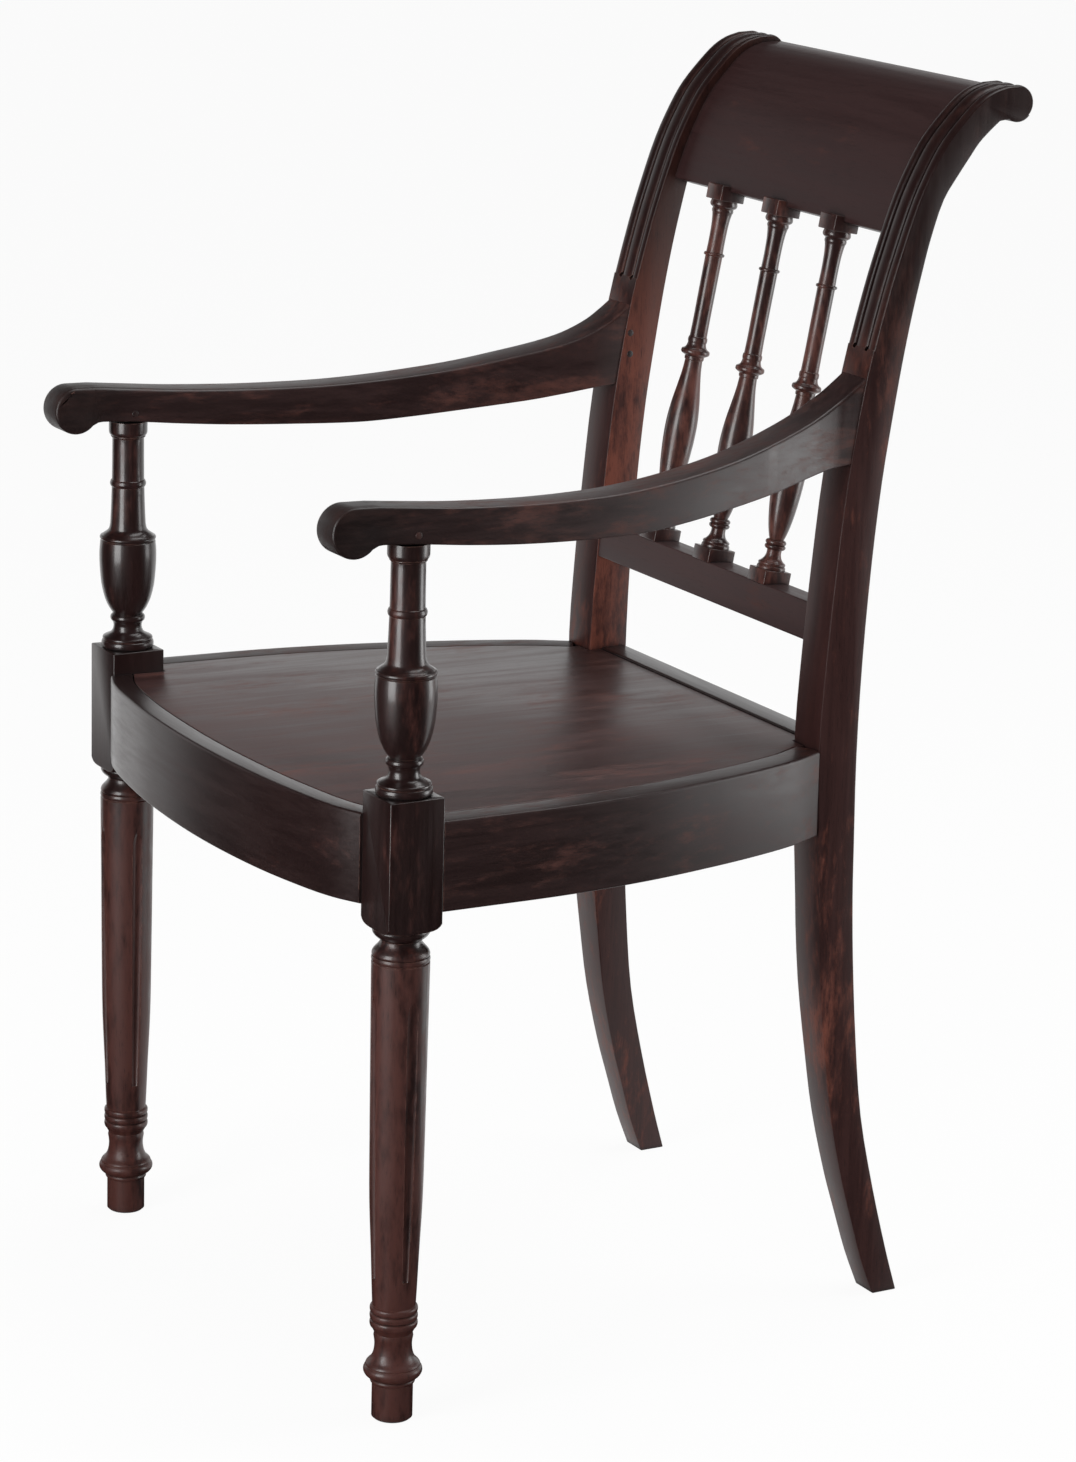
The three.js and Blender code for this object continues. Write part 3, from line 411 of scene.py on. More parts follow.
# %% The flutes
flute_foot_margin = 21.5 * MM
flute_head_margin = 27 * MM
flute_foot_radius = 2.7 * MM
flute_head_radius = 5.6 * MM
flute_depth = 2.2 * MM
shaft_foot_radius = 17.1186 * MM
shaft_head_radius = shaft[1]
flute_length = shaft[0] - flute_foot_margin - flute_head_margin
flute_path = (flute_length, flute_head_radius, [
    (0, 0, CORNER), (0, 0.4, CORNER), (0.005, 0.48, CORNER), (0.94, 1, CORNER), (0.97, 0.86),
    (1, 0.5, CORNER), (1.002, 0, CORNER)])
at_foot = shaft_foot_radius + flute_foot_radius - flute_depth
at_head = shaft_head_radius + flute_head_radius - flute_depth
lean = Matrix.Rotation(math.atan2(at_head - at_foot, flute_length), 4, "Y")
shifted = Matrix.Translation((at_foot, 0, shaft_foot + flute_foot_margin))
for quarter in range(4):
    gouge = turn("gouge", [flute_path], facets=24)
    gouge.data.transform(Matrix.Rotation(quarter * math.pi / 2, 4, "Z") @ shifted @ lean)
    carve(front_leg, gouge)
print("fluted leg:", len(front_leg.data.polygons), "faces")

# %% Place both front legs
front_leg.data.transform(Matrix.Translation((leg_x, leg_y, 0)))
front_leg_right = copied(front_leg, "front_leg_right_turned", mirror=True)
dress(front_leg, "front_leg_left", "turned_wood")
dress(front_leg_right, "front_leg_right", "turned_wood")
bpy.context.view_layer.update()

# %% [markdown]
# ## The rear uprights
# Each upright is sawn from one wide board: the foot kicks back, the middle stands at the seat, and the
# top leans back and rolls over in a scroll. Its outline is a share of its height and of its sweep, so
# we trace the front, go round the scroll and come down the back. The foot is then tapered on its inner
# side with one slanting cut, which Bisect makes as a saw would.

# %% Saw out an upright
front_marks = [
    (0, 0.438), (0.032, 0.365), (0.069, 0.298), (0.104, 0.237), (0.159, 0.161), (0.209, 0.1155),
    (0.274, 0.067), (0.3445, 0.0395), (0.425, 0.009), (0.484, 0), (0.551, 0.0195), (0.624, 0.052),
    (0.696, 0.094), (0.776, 0.17), (0.84, 0.262), (0.877, 0.328), (0.913, 0.402), (0.941, 0.481),
    (0.959, 0.547), (0.978, 0.647), (0.989, 0.717), (0.9957, 0.784), (0.9993, 0.857)]
back_marks = [
    (0.9724, 0.821), (0.965, 0.769), (0.956, 0.714), (0.945, 0.666), (0.932, 0.611), (0.913, 0.538),
    (0.8835, 0.479), (0.859, 0.443), (0.826, 0.4), (0.787, 0.358), (0.744, 0.319), (0.692, 0.277),
    (0.627, 0.242), (0.5475, 0.216), (0.468, 0.207), (0.39, 0.216), (0.351, 0.222), (0.2965, 0.24),
    (0.2255, 0.2765), (0.1595, 0.325), (0.0957, 0.41), (0.035, 0.5075), (0, 0.571)]
scroll_radius = 13.7 * MM
scroll_back = 0.918
foot_taper = 11.5 * MM
taper_height = 300 * MM


def on_stile(rise, back):
    return Vector((0, back_line + back * stile_sweep, rise * chair_height))


stile_front = flow([on_stile(*mark) for mark in front_marks], 3)
stile_back = flow([on_stile(*mark) for mark in back_marks], 3)
scroll_centre = Vector((0, back_line + scroll_back * stile_sweep, chair_height - scroll_radius))
scroll_line = arc(scroll_centre, scroll_radius, start=90, end=-125, steps=26)
stile_line = [*stile_front, *scroll_line, *stile_back]
outer_face = Vector((stile_outer, 0, 0))
upright = plank("rear_upright_left_sawn", [here + outer_face for here in stile_line], (-stile_width, 0, 0))
bpy.ops.mesh.bisect(plane_co=(stile_inner, 0, taper_height), plane_no=(-taper_height, 0, -foot_taper),
                    use_fill=True, clear_outer=True)
tidy_normals()
soften(1.1 * MM)
leave()
print("upright:", len(upright.data.polygons), "faces")

# %% [markdown]
# ## Reeds down the front
# Above the arms the front of each upright is worked into three reeds that run up and over the scroll.
# A scratch stock does that: a steel cut to the shape of the reeds is drawn along the wood. Our steel is
# a section that we carry along the front line, a step forward and a small turn each time. The turn's
# sign looks wrong, because Blender without a window turns the other way. Each quirk between two reeds
# starts in a small round hollow, and a drill makes that.

# %% A section carried along a line
def angle_of(line, index, axis):
    along = line[min(index + 1, len(line) - 1)] - line[max(index - 1, 0)]
    return math.atan2(along.z, along.y) if axis == "X" else math.atan2(along.y, along.x)


def carry(name, section, line, axis):
    """A closed section swept along a line in the plane square to axis. Its points give the distance along
    the axis, or up, and the distance to the left of the line."""
    angle = angle_of(line, 0, axis)
    if axis == "X":
        left, level = Vector((0, -math.sin(angle), math.cos(angle))), Vector((1, 0, 0))
    else:
        left, level = Vector((-math.sin(angle), math.cos(angle), 0)), Vector((0, 0, 1))
    piece = trace_closed(name, [line[0] + level * level_share + left * out for level_share, out in section])
    for index in range(1, len(line)):
        bpy.ops.mesh.extrude_region_move(TRANSFORM_OT_translate={"value": line[index] - line[index - 1]})
        turn_by = (angle_of(line, index, axis) - angle + math.pi) % (2 * math.pi) - math.pi
        angle += turn_by
        bpy.ops.transform.rotate(value=-turn_by, orient_axis=axis, center_override=line[index])
    bpy.ops.mesh.select_all(action="SELECT")
    bpy.ops.mesh.fill_holes(sides=0)
    tidy_normals()
    return piece


# %% Grind the steel
inner_quirk, outer_quirk = -8.8 * MM, 7 * MM
quirk_depth = 2.7 * MM
quirk_width = 0.9 * MM
edge_depth = 1.6 * MM
crown_depth = 0.12 * MM
fullness = 2.2
waste = 5 * MM


def reed(start, end, start_depth, end_depth, steps=8):
    """Half round section of one reed between two places, with the depths at its sides."""
    middle, half = (start + end) / 2, (end - start) / 2
    line = []
    for step in range(-steps, steps + 1):
        across = math.sin(step / steps * math.pi / 2)
        depth = start_depth if across < 0 else end_depth
        fall = 1 - (1 - abs(across) ** fullness) ** (1 / fullness)
        line.append((middle + half * across, -crown_depth - (depth - crown_depth) * fall))
    return line


reach = stile_width / 2
half_quirk = quirk_width / 2
reeds = [*reed(-reach, inner_quirk - half_quirk, edge_depth, quirk_depth),
         *reed(inner_quirk + half_quirk, outer_quirk - half_quirk, quirk_depth, quirk_depth),
         *reed(outer_quirk + half_quirk, reach, quirk_depth, edge_depth)]
steel = [(-reach - waste, -edge_depth), *reeds, (reach + waste, -edge_depth), (reach + waste, waste),
         (-reach - waste, waste)]
print("the steel has", len(steel), "corners")

# %% Work the reeds
reed_foot = 742 * MM
last_reeded = 17
reed_line = [here for here in stile_front if here.z > reed_foot] + scroll_line[1:last_reeded]
middle_face = Vector((stile_middle, 0, 0))
scratch = carry("scratch stock", steel, [here + middle_face for here in reed_line], "X")
leave()
carve(upright, scratch)
start = reed_line[0]
into = math.atan2(reed_line[1].y - start.y, reed_line[1].z - start.z)
for quirk in (inner_quirk, outer_quirk):
    bpy.ops.object.select_all(action="DESELECT")
    bpy.ops.mesh.primitive_cylinder_add(
        vertices=24, radius=2.2 * MM, depth=7 * MM, rotation=(math.pi / 2 - into, 0, 0),
        location=(stile_middle + quirk, start.y, start.z))
    drill = bpy.context.object
    bpy.ops.object.transform_apply(location=True, rotation=True)
    carve(upright, drill)
upright_right = copied(upright, "rear_upright_right_sawn", mirror=True)
dress(upright, "rear_upright_left", "frame_wood")
dress(upright_right, "rear_upright_right", "frame_wood")
print("reeded upright:", len(upright.data.polygons), "faces")

# %% [markdown]
# ## The arms
# An arm is sawn twice: first from the side, with its rolled nose and its climb to the back, and then in
# plan, where it swings in from the front leg to the upright. We extrude the side outline, slice it
# across with Bisect so that it can bend, and move every vertex sideways by the plan curve.

# %% Saw out an arm from the side
arm_overhang = 66 * MM
arm_run = 470.5 * MM
arm_rise = 79 * MM
nose_radius = 18 * MM
nose_drop = 6.2 * MM
arm_start = leg_y - arm_overhang
blank_width = 1
slices = 76
top_marks = [
    (0.0764, 0.372), (0.14, 0.337), (0.208, 0.301), (0.278, 0.276), (0.348, 0.259), (0.418, 0.253),
    (0.49, 0.257), (0.569, 0.285), (0.65, 0.334), (0.73, 0.403), (0.803, 0.494), (0.862, 0.58),
    (0.909, 0.671), (0.953, 0.801), (0.979, 0.905), (1, 1), (1.02, 1.1)]
under_marks = [
    (1.02, 0.202), (0.989, 0.19), (0.938, 0.161), (0.892, 0.114), (0.82, 0.038), (0.713, -0.043),
    (0.611, -0.106), (0.533, -0.133), (0.42, -0.119), (0.314, -0.089), (0.225, -0.046),
    (0.159, -0.005), (0.119, 0.0165), (0.085, 0.028), (0.076, 0.024)]


def on_arm(run, rise):
    return Vector((0, arm_start + run * arm_run, arm_underside + rise * arm_rise))


nose_centre = Vector((0, arm_start + nose_radius, arm_underside - nose_drop + nose_radius))
arm_line = [*flow([on_arm(*mark) for mark in under_marks], 4),
            *arc(nose_centre, nose_radius, start=318, end=90, steps=34),
            *flow([on_arm(*mark) for mark in top_marks], 4)]
side_face = Vector((leg_x + blank_width / 2, 0, 0))
arm = plank("arm_left_sawn", [here + side_face for here in arm_line], (-blank_width, 0, 0))
for step in range(slices):
    cut_y = arm_start + nose_radius + (arm_run - nose_radius) * (step + 0.5) / slices
    bpy.ops.mesh.select_all(action="SELECT")
    bpy.ops.mesh.bisect(plane_co=(0, cut_y, 0), plane_no=(0, 1, 0))
print("the arm is cut across at", slices, "places")

# %% Saw the arm in plan
bend_marks = [
    (-0.02, -0.012), (0.14, -0.012), (0.278, 0.02), (0.418, 0.1), (0.53, 0.21), (0.65, 0.385),
    (0.773, 0.62), (0.862, 0.83), (0.911, 0.935), (0.953, 0.99), (1.06, 1)]
arm_front_half = 13.25 * MM
arm_end_half = 16.75 * MM
plan_line = flow([Vector((leg_x - bend * (leg_x - stile_middle), arm_start + run * arm_run, 0))
                  for run, bend in bend_marks], 8)


def plan_at(y):
    """Middle and half width of the arm at a place on Y."""
    after = next(index for index, here in enumerate(plan_line) if here.y > y or index == len(plan_line) - 1)
    low, high = plan_line[max(after, 1) - 1], plan_line[max(after, 1)]
    along = high - low
    middle = low.x + along.x * (y - low.y) / along.y
    run = min(max((y - arm_start) / arm_run, 0), 1)
    return middle, (arm_front_half + (arm_end_half - arm_front_half) * run) * along.length / along.y


mesh = bmesh.from_edit_mesh(arm.data)
for vert in mesh.verts:
    middle, half = plan_at(vert.co.y)
    vert.co.x = middle + (half if vert.co.x > leg_x else -half)
bmesh.update_edit_mesh(arm.data)
bpy.ops.object.mode_set(mode="OBJECT")
print("bent arm:", [round(value, 3) for value in arm.dimensions])

# %% [markdown]
# The arm's arrises aren't all alike: hands have worn the inner top edge the most, and more towards the
# front, while the lower edges are nearly as they were sawn. The Bevel modifier can tell them apart,
# because it reads a weight from each edge.

# %% Round the arm's arrises
worn_most = 5 * MM
lower_arris = 1.3 * MM
outer_arris = 2.3 * MM
hand_arris, hand_loss, hand_run = 4.6 * MM, 2.4 * MM, 0.625
nose_run = 0.07
nose_arris = 2.1 * MM
nose_hand_arris, nose_hand_gain = 2.4 * MM, 1.6 * MM
faces_up = 0.4


def arm_arris(run, on_top, inner):
    """How far an arris of the arm has worn, at a share of the arm's length."""
    if run < nose_run:
        return nose_hand_arris + nose_hand_gain * max(run, 0) / nose_run if inner and on_top else nose_arris
    if not on_top:
        return lower_arris
    return hand_arris - hand_loss * min(run / hand_run, 1) if inner else outer_arris


mesh = bmesh.new()
mesh.from_mesh(arm.data)
weights = mesh.edges.layers.float.new("bevel_weight_edge")
for edge in mesh.edges:
    if not edge.is_manifold or not arris(edge, SHARP):
        continue
    spot = (edge.verts[0].co + edge.verts[1].co) / 2
    on_top = sum(face.normal.z for face in edge.link_faces) > faces_up
    inner = spot.x < plan_at(spot.y)[0]
    edge[weights] = arm_arris((spot.y - arm_start) / arm_run, on_top, inner) / worn_most
mesh.to_mesh(arm.data)
mesh.free()
alone(arm)
rounding = arm.modifiers.new("worn arrises", "BEVEL")
rounding.limit_method = "WEIGHT"
rounding.width = worn_most
rounding.segments = 5
rounding.use_clamp_overlap = False
bpy.ops.object.modifier_apply(modifier=rounding.name)
bpy.ops.object.shade_smooth_by_angle(angle=REAL_EDGE)
arm_right = copied(arm, "arm_right_sawn", mirror=True)
dress(arm, "arm_left", "arm_wood")
dress(arm_right, "arm_right", "arm_wood")
print("arm:", len(arm.data.polygons), "faces")

# %% [markdown]
# ## Pins and pegs
# A pin through each arm holds the leg's tenon, and two pegs hold the arm's own tenon in the upright.
# They were whittled, not turned, so they have a few faces, and their ends stand a hair proud because
# the wood around them has shrunk.

# %% Whittle the pins
def pin(name, node, middle, length, radius):
    """A whittled pin along X, in place of a pin of the frame."""
    low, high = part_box(node)
    bpy.ops.object.select_all(action="DESELECT")
    bpy.ops.mesh.primitive_cylinder_add(
        vertices=9, radius=radius, depth=length, rotation=(0, math.pi / 2, 0),
        location=(middle, (low.y + high.y) / 2, (low.z + high.z) / 2))
    piece = bpy.context.object
    piece.name = piece.data.name = name
    bpy.ops.object.transform_apply(location=True, rotation=True)
    bpy.ops.object.mode_set(mode="EDIT")
    soften(0.5 * MM, lambda edge: arris(edge, SHARP))
    leave()
    dress(piece, node, "peg_wood")


proud = 0.5 * MM
pin_radius, peg_radius = 2.7 * MM, 2.9 * MM
arm_middle, arm_half = plan_at(leg_y)
for side, way in (("left", 1), ("right", -1)):
    pin(f"arm_pin_{side}_whittled", f"arm_pin_{side}", way * arm_middle, 2 * (arm_half + proud),
        pin_radius)
    for level in ("upper", "lower"):
        low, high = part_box(f"arm_peg_{level}_{side}")
        pin(f"arm_peg_{level}_{side}_whittled", f"arm_peg_{level}_{side}", (low.x + high.x) / 2,
            high.x - low.x + proud, peg_radius)
print("pins:", len(dressed["peg_wood"]))

# %% [markdown]
# ## The seat frame
# The front rail bows forward between the legs and the side rails curve in to the uprights. In section
# each rail is an L: its inner top edge is cut down to carry the seat's boards, so the rest of its top
# shows as a border. We draw the L once with round corners and carry it along the plan of each rail.

# %% A section with round corners
def rounded(corners, steps=4):
    """Corners are (x, y, radius); gives the outline with each corner rounded."""
    line = []
    for index, (x, y, radius) in enumerate(corners):
        corner = Vector((x, y))
        before = Vector(corners[index - 1][:2]) - corner
        after = Vector(corners[(index + 1) % len(corners)][:2]) - corner
        if not radius:
            line.append((x, y))
            continue
        start = corner + before.normalized() * radius
        end = corner + after.normalized() * radius
        for step in range(steps + 1):
            share = step / steps
            spot = start * (1 - share) ** 2 + corner * 2 * share * (1 - share) + end * share ** 2
            line.append((spot.x, spot.y))
    return line


panel_thickness = 12 * MM
rail_height = 66.5 * MM
front_rail_thickness = 25 * MM
side_rail_thickness = 28 * MM
front_border = 17 * MM
side_border = 21 * MM
ledge_gap = 0.3 * MM
snug = 0.1 * MM


def rail_section(thickness, border):
    """(up, inwards) outline of a rail, measured from its outer top corner."""
    ledge = -panel_thickness - ledge_gap
    return rounded([
        (0, 0, 2.4 * MM), (0, border, 0.7 * MM), (ledge, border, 0), (ledge, thickness, 0.8 * MM),
        (-rail_height, thickness, 1 * MM), (-rail_height, 0, 1.6 * MM)])


def tip_with_seat(piece):
    """Tips a level piece back with the seat. A matrix does it, because Shear needs a window."""
    slope = -math.tan(seat_slope)
    piece.data.transform(Matrix(((1, 0, 0, 0), (0, 1, 0, 0), (0, slope, 1, -slope * leg_y), (0, 0, 0, 1))))


# %% The front rail
front_bow = 29 * MM
rail_belly = 4.5 * MM
bow_marks = [(-1, 0), (-0.87, 0.38), (-0.71, 0.62), (-0.41, 0.88), (0, 1), (0.41, 0.88), (0.71, 0.62),
             (0.87, 0.38), (1, 0)]
into_block = 1 * MM
bow_spare = 6 * MM
block_inner = leg_x - block_half
bow_reach = block_inner + bow_spare
front_line = flow([Vector((across * bow_reach, leg_y - block_half - bow * front_bow, seat_height))
                   for across, bow in bow_marks], 8)


def offset_in(line, distance):
    """A plan line moved to its left."""
    moved = []
    for index, here in enumerate(line):
        along = (line[min(index + 1, len(line) - 1)] - line[max(index - 1, 0)]).normalized()
        moved.append(here + Vector((-along.y, along.x, 0)) * distance)
    return moved


front_section = rail_section(front_rail_thickness, front_border)
front_rail = carry("front_rail_bowed", front_section, front_line, "Z")
for side in (-1, 1):
    bpy.ops.mesh.select_all(action="SELECT")
    bpy.ops.mesh.bisect(plane_co=(side * (block_inner + into_block), 0, 0), plane_no=(side, 0, 0),
                        use_fill=True, clear_outer=True)
tidy_normals()
mesh = bmesh.from_edit_mesh(front_rail.data)
for vert in mesh.verts:
    if vert.co.z < seat_height - rail_height / 2:
        vert.co.z -= rail_belly * (1 - (vert.co.x / bow_reach) ** 2)
bmesh.update_edit_mesh(front_rail.data)
leave()
tip_with_seat(front_rail)
dress(front_rail, "front_rail", "frame_wood")
print("front rail:", len(front_rail.data.polygons), "faces")

# %% The side rails
taper_marks = [(0, 0), (0.11, 0.012), (0.25, 0.03), (0.364, 0.078), (0.505, 0.18), (0.632, 0.32),
               (0.779, 0.522), (0.917, 0.771), (1, 1)]
into_upright = 3 * MM
side_outer = leg_x + block_half
side_start = leg_y + block_half
side_run = back_line - side_start
narrowing = side_outer - stile_outer
side_line = flow([Vector((side_outer - inward * narrowing, side_start + run * side_run, seat_height))
                  for run, inward in taper_marks], 6)
side_end = side_line[-1] + (side_line[-1] - side_line[-2]).normalized() * into_upright
side_section = rail_section(side_rail_thickness, side_border)
side_rail = carry("side_rail_left_curved", side_section, [*side_line, side_end], "Z")
leave()
tip_with_seat(side_rail)
side_rail_right = copied(side_rail, "side_rail_right_curved", mirror=True)
dress(side_rail, "side_rail_left", "frame_wood")
dress(side_rail_right, "side_rail_right", "frame_wood")
print("side rail:", len(side_rail.data.polygons), "faces")

# %% The rear rail
rear_rail_setback = 11 * MM
rear_rail_thickness = 21.5 * MM
rear_rail_lift = 1.5 * MM
rear_face = back_line + rear_rail_setback
rear_section = rounded([
    (rear_rail_lift, 0, 1.6 * MM), (rear_rail_lift, rear_rail_thickness, 1.6 * MM),
    (-rail_height, rear_rail_thickness, 1 * MM), (-rail_height, 0, 1 * MM)])
rear_line = [Vector((across * (stile_inner + snug), rear_face, seat_height)) for across in (-1, 0, 1)]
rear_rail = carry("rear_rail_straight", rear_section, rear_line, "Z")
leave()
tip_with_seat(rear_rail)
dress(rear_rail, "rear_rail", "frame_wood")
print("rear rail:", [round(value, 3) for value in rear_rail.dimensions])

# %% [markdown]
# ## The seat
# The seat is made of thin boards, glued edge to edge and let in between the rails. Its outline runs
# along the inside of the border, steps round the legs' blocks and the uprights, and keeps a hair's
# breadth of air all round: that gap is the dark line that one sees. Its own edge is barely rounded.

# %% The seat's boards
panel_gap = 0.9 * MM
corner_step = 1 * MM
front_edge = offset_in(front_line, front_border + panel_gap)
side_edge = offset_in(side_line, side_border + panel_gap)
half = [here for here in front_edge if 0 <= here.x < block_inner - panel_gap]
half.append(Vector((block_inner - panel_gap, half[-1].y + corner_step, seat_height)))
corner_y = side_start + panel_gap
half.append(Vector((block_inner - panel_gap, corner_y, seat_height)))
half.append(Vector((side_edge[0].x, corner_y, seat_height)))
half += [here for here in side_edge if corner_y < here.y < back_line - panel_gap]
half.append(Vector((half[-1].x, back_line - panel_gap, seat_height)))
half.append(Vector((stile_inner - panel_gap, back_line - panel_gap, seat_height)))
half.append(Vector((stile_inner - panel_gap, rear_face - panel_gap, seat_height)))
other_half = [Vector((-here.x, here.y, here.z)) for here in reversed(half) if here.x > 0]
seat = plank("seat_panel_boarded", [*half, *other_half], (0, 0, -panel_thickness))
soften(0.8 * MM, lambda edge: arris(edge, SHARP)
       and min(vert.co.z for vert in edge.verts) > seat_height - snug)
leave()
tip_with_seat(seat)
dress(seat, "seat_panel", "seat_wood")
print("seat:", [round(value, 3) for value in seat.dimensions])

# %% [markdown]
# ## The crest rail
# The crest is a broad curved board between the uprights. It lies a little behind their faces, follows
# the same line upwards and rolls over with the scrolls. So we take the front line above the crest's
# foot, move it back, round its top, and come down again at the thickness of the board.

# %% Shape the crest
crest_foot = 832.6 * MM
crest_low_recess = 9 * MM
crest_high_recess = 5 * MM
crest_thickness = 18 * MM
crest_tail = 5 * MM
least_step = 1 * MM


def front_at(height):
    """The place on the uprights' front line at a height."""
    above = next(index for index, here in enumerate(stile_front) if here.z >= height)
    low, high = stile_front[above - 1], stile_front[above]
    return low.lerp(high, (height - low.z) / (high.z - low.z))


crest_run = [front_at(crest_foot), *[here for here in stile_front if here.z > crest_foot + least_step],
             *scroll_line[:2]]


def crest_face(behind):
    line = []
    for index, here in enumerate(crest_run):
        share = index / (len(crest_run) - 1)
        along = (crest_run[min(index + 1, len(crest_run) - 1)] - crest_run[max(index - 1, 0)]).normalized()
        recess = crest_low_recess + (crest_high_recess - crest_low_recess) * share + behind
        line.append(here + Vector((0, along.z, -along.y)) * recess)
    return line


crest_front = crest_face(0)
crest_back = crest_face(crest_thickness)
crest_top = crest_front[-1]
roll_centre = crest_top + Vector((0, crest_tail, -crest_thickness / 2))
roll = arc(roll_centre, crest_thickness / 2, start=90, end=-90, steps=16)
crest_reach = stile_inner + snug
crest_line = [here + Vector((crest_reach, 0, 0)) for here in [*crest_front, *roll, *reversed(crest_back)]]
crest = plank("crest_rail_rolled", crest_line, (-2 * crest_reach, 0, 0))
soften(1.4 * MM, lambda edge: arris(edge, SHARP)
       and abs(edge.verts[0].co.x - edge.verts[1].co.x) > crest_reach)
leave()
dress(crest, "crest_rail", "frame_wood")
print("crest:", len(crest.data.polygons), "faces")

# %% [markdown]
# The stay rail is a plain straight bar just above the seat. It leans back with the uprights, so it is
# made level and then turned about its lower front corner.

# %% The stay rail
stay_rise = 72.5 * MM
stay_height = 29.5 * MM
stay_depth = 22 * MM
stay_recess = 1 * MM
stay_arris = 1.5 * MM
stay_foot = seat_height + stay_rise
stay_lean = math.atan2(front_at(stay_foot + stay_height).y - front_at(stay_foot).y, stay_height)
stay_corner = front_at(stay_foot) + Vector((0, stay_recess, 0))
stay_section = rounded([
    (0, 0, stay_arris), (0, stay_depth, stay_arris), (stay_height, stay_depth, stay_arris),
    (stay_height, 0, stay_arris)])
stay_reach = stile_inner + snug
stay_line = [stay_corner + Vector((across * stay_reach, 0, 0)) for across in (-1, 0, 1)]
stay = carry("stay_rail_straight", stay_section, stay_line, "Z")
leave()
about_corner = Matrix.Translation(stay_corner)
stay.data.transform(about_corner @ Matrix.Rotation(-stay_lean, 4, "X") @ about_corner.inverted())
dress(stay, "stay_rail", "frame_wood")
print("stay rail leans back by", round(math.degrees(stay_lean), 1), "degrees")

# %% [markdown]
# ## The spindles
# Each spindle is turned between two small square blocks: a base with a ring and a cove, a long belly, a
# disc above it, a slim neck with one thin ring, and a flared head. The marks are shares of the turned
# length and of the belly's radius.

# %% The spindle's outline
spindle_radius = 12.6 * MM
base_width, base_height = 23.6 * MM, 9.5 * MM
head_width, head_height = 22 * MM, 7.5 * MM
head_depth = 0.2
spindle_marks = [
    (-0.004, 0.84, CORNER), (0.003, 0.88), (0.0095, 0.86), (0.0125, 0.8, CORNER), (0.015, 0.83),
    (0.0185, 0.835), (0.0215, 0.79), (0.0235, 0.72, CORNER), (0.028, 0.62), (0.035, 0.52),
    (0.0468, 0.45), (0.0574, 0.45, CORNER), (0.061, 0.58), (0.066, 0.645), (0.0705, 0.63),
    (0.0734, 0.55, CORNER), (0.0765, 0.62), (0.0815, 0.64), (0.0862, 0.58), (0.0894, 0.44, CORNER),
    (0.099, 0.515), (0.1288, 0.67), (0.1735, 0.82), (0.2331, 0.94), (0.2832, 0.995), (0.33, 0.99),
    (0.384, 0.89), (0.435, 0.73), (0.48, 0.6), (0.514, 0.55, CORNER), (0.516, 0.6, CORNER),
    (0.521, 0.615), (0.5255, 0.61, CORNER), (0.5275, 0.66), (0.531, 0.8), (0.535, 0.89), (0.54, 0.91),
    (0.546, 0.87), (0.5485, 0.78, CORNER), (0.552, 0.68), (0.559, 0.61), (0.5675, 0.575, CORNER),
    (0.5705, 0.6), (0.577, 0.61), (0.5835, 0.59), (0.586, 0.545, CORNER), (0.64, 0.53), (0.7, 0.535),
    (0.8315, 0.54, CORNER), (0.833, 0.62), (0.837, 0.655), (0.841, 0.62), (0.8425, 0.53, CORNER),
    (0.872, 0.515), (0.905, 0.52), (0.93, 0.54), (0.95, 0.58), (0.9625, 0.625, CORNER), (0.966, 0.66),
    (0.971, 0.675), (0.976, 0.65, CORNER), (0.9785, 0.71, CORNER), (0.982, 0.81), (0.988, 0.86),
    (0.994, 0.845), (1.004, 0.78, CORNER)]
square_cut = Vector((0, math.cos(stay_lean), -math.sin(stay_lean)))
along_stay = Vector((0, math.sin(stay_lean), math.cos(stay_lean)))
spindle_foot = stay_corner + square_cut * (stay_depth / 2) + along_stay * stay_height
spindle_head = crest_front[0].lerp(crest_back[0], head_depth)
spindle_axis = spindle_head - spindle_foot
span = spindle_axis.length - base_height - head_height
print("spindles are", round(spindle_axis.length, 4), "long")

# %% [markdown]
# We turn one spindle upright and join its two blocks, which run a little way into the rails, so that no
# gap shows. Then it is leant from the stay rail to the crest and copied to both sides.

# %% Turn a spindle and copy it
spindle_spacing = 81 * MM
base_spare, head_spare = 1.5 * MM, 4.5 * MM
spindle = turn("spindle_centre_turned", [(span, spindle_radius, spindle_marks)], base_height, facets=48)


def square_block(width, height, middle):
    bpy.ops.object.select_all(action="DESELECT")
    bpy.ops.mesh.primitive_cube_add(size=width)
    piece = bpy.context.object
    bpy.ops.object.mode_set(mode="EDIT")
    bpy.ops.transform.resize(value=(1, 1, height / width))
    bpy.ops.transform.translate(value=(0, 0, middle))
    soften(0.7 * MM)
    return leave()


base_middle = (base_height - base_spare) / 2
head_middle = spindle_axis.length - (head_height - head_spare) / 2
carve(spindle, square_block(base_width, base_height + base_spare, base_middle), "UNION")
carve(spindle, square_block(head_width, head_height + head_spare, head_middle), "UNION")
lean = Matrix.Rotation(-math.atan2(spindle_axis.y, spindle_axis.z), 4, "X")
spindle.data.transform(Matrix.Translation(spindle_foot) @ lean)
spindle_left = copied(spindle, "spindle_left_turned", shift=(spindle_spacing, 0, 0))
spindle_right = copied(spindle, "spindle_right_turned", shift=(-spindle_spacing, 0, 0))
dress(spindle, "spindle_centre", "turned_wood")
dress(spindle_left, "spindle_left", "turned_wood")
dress(spindle_right, "spindle_right", "turned_wood")
print("spindle:", len(spindle.data.polygons), "faces")

# %% [markdown]
# ## Under the seat
# Four corner blocks stiffen the frame, each held by two screws. They are plain pieces that only a
# repairer sees, and the frame's own shapes are right for them, so they stay and only get a finish.

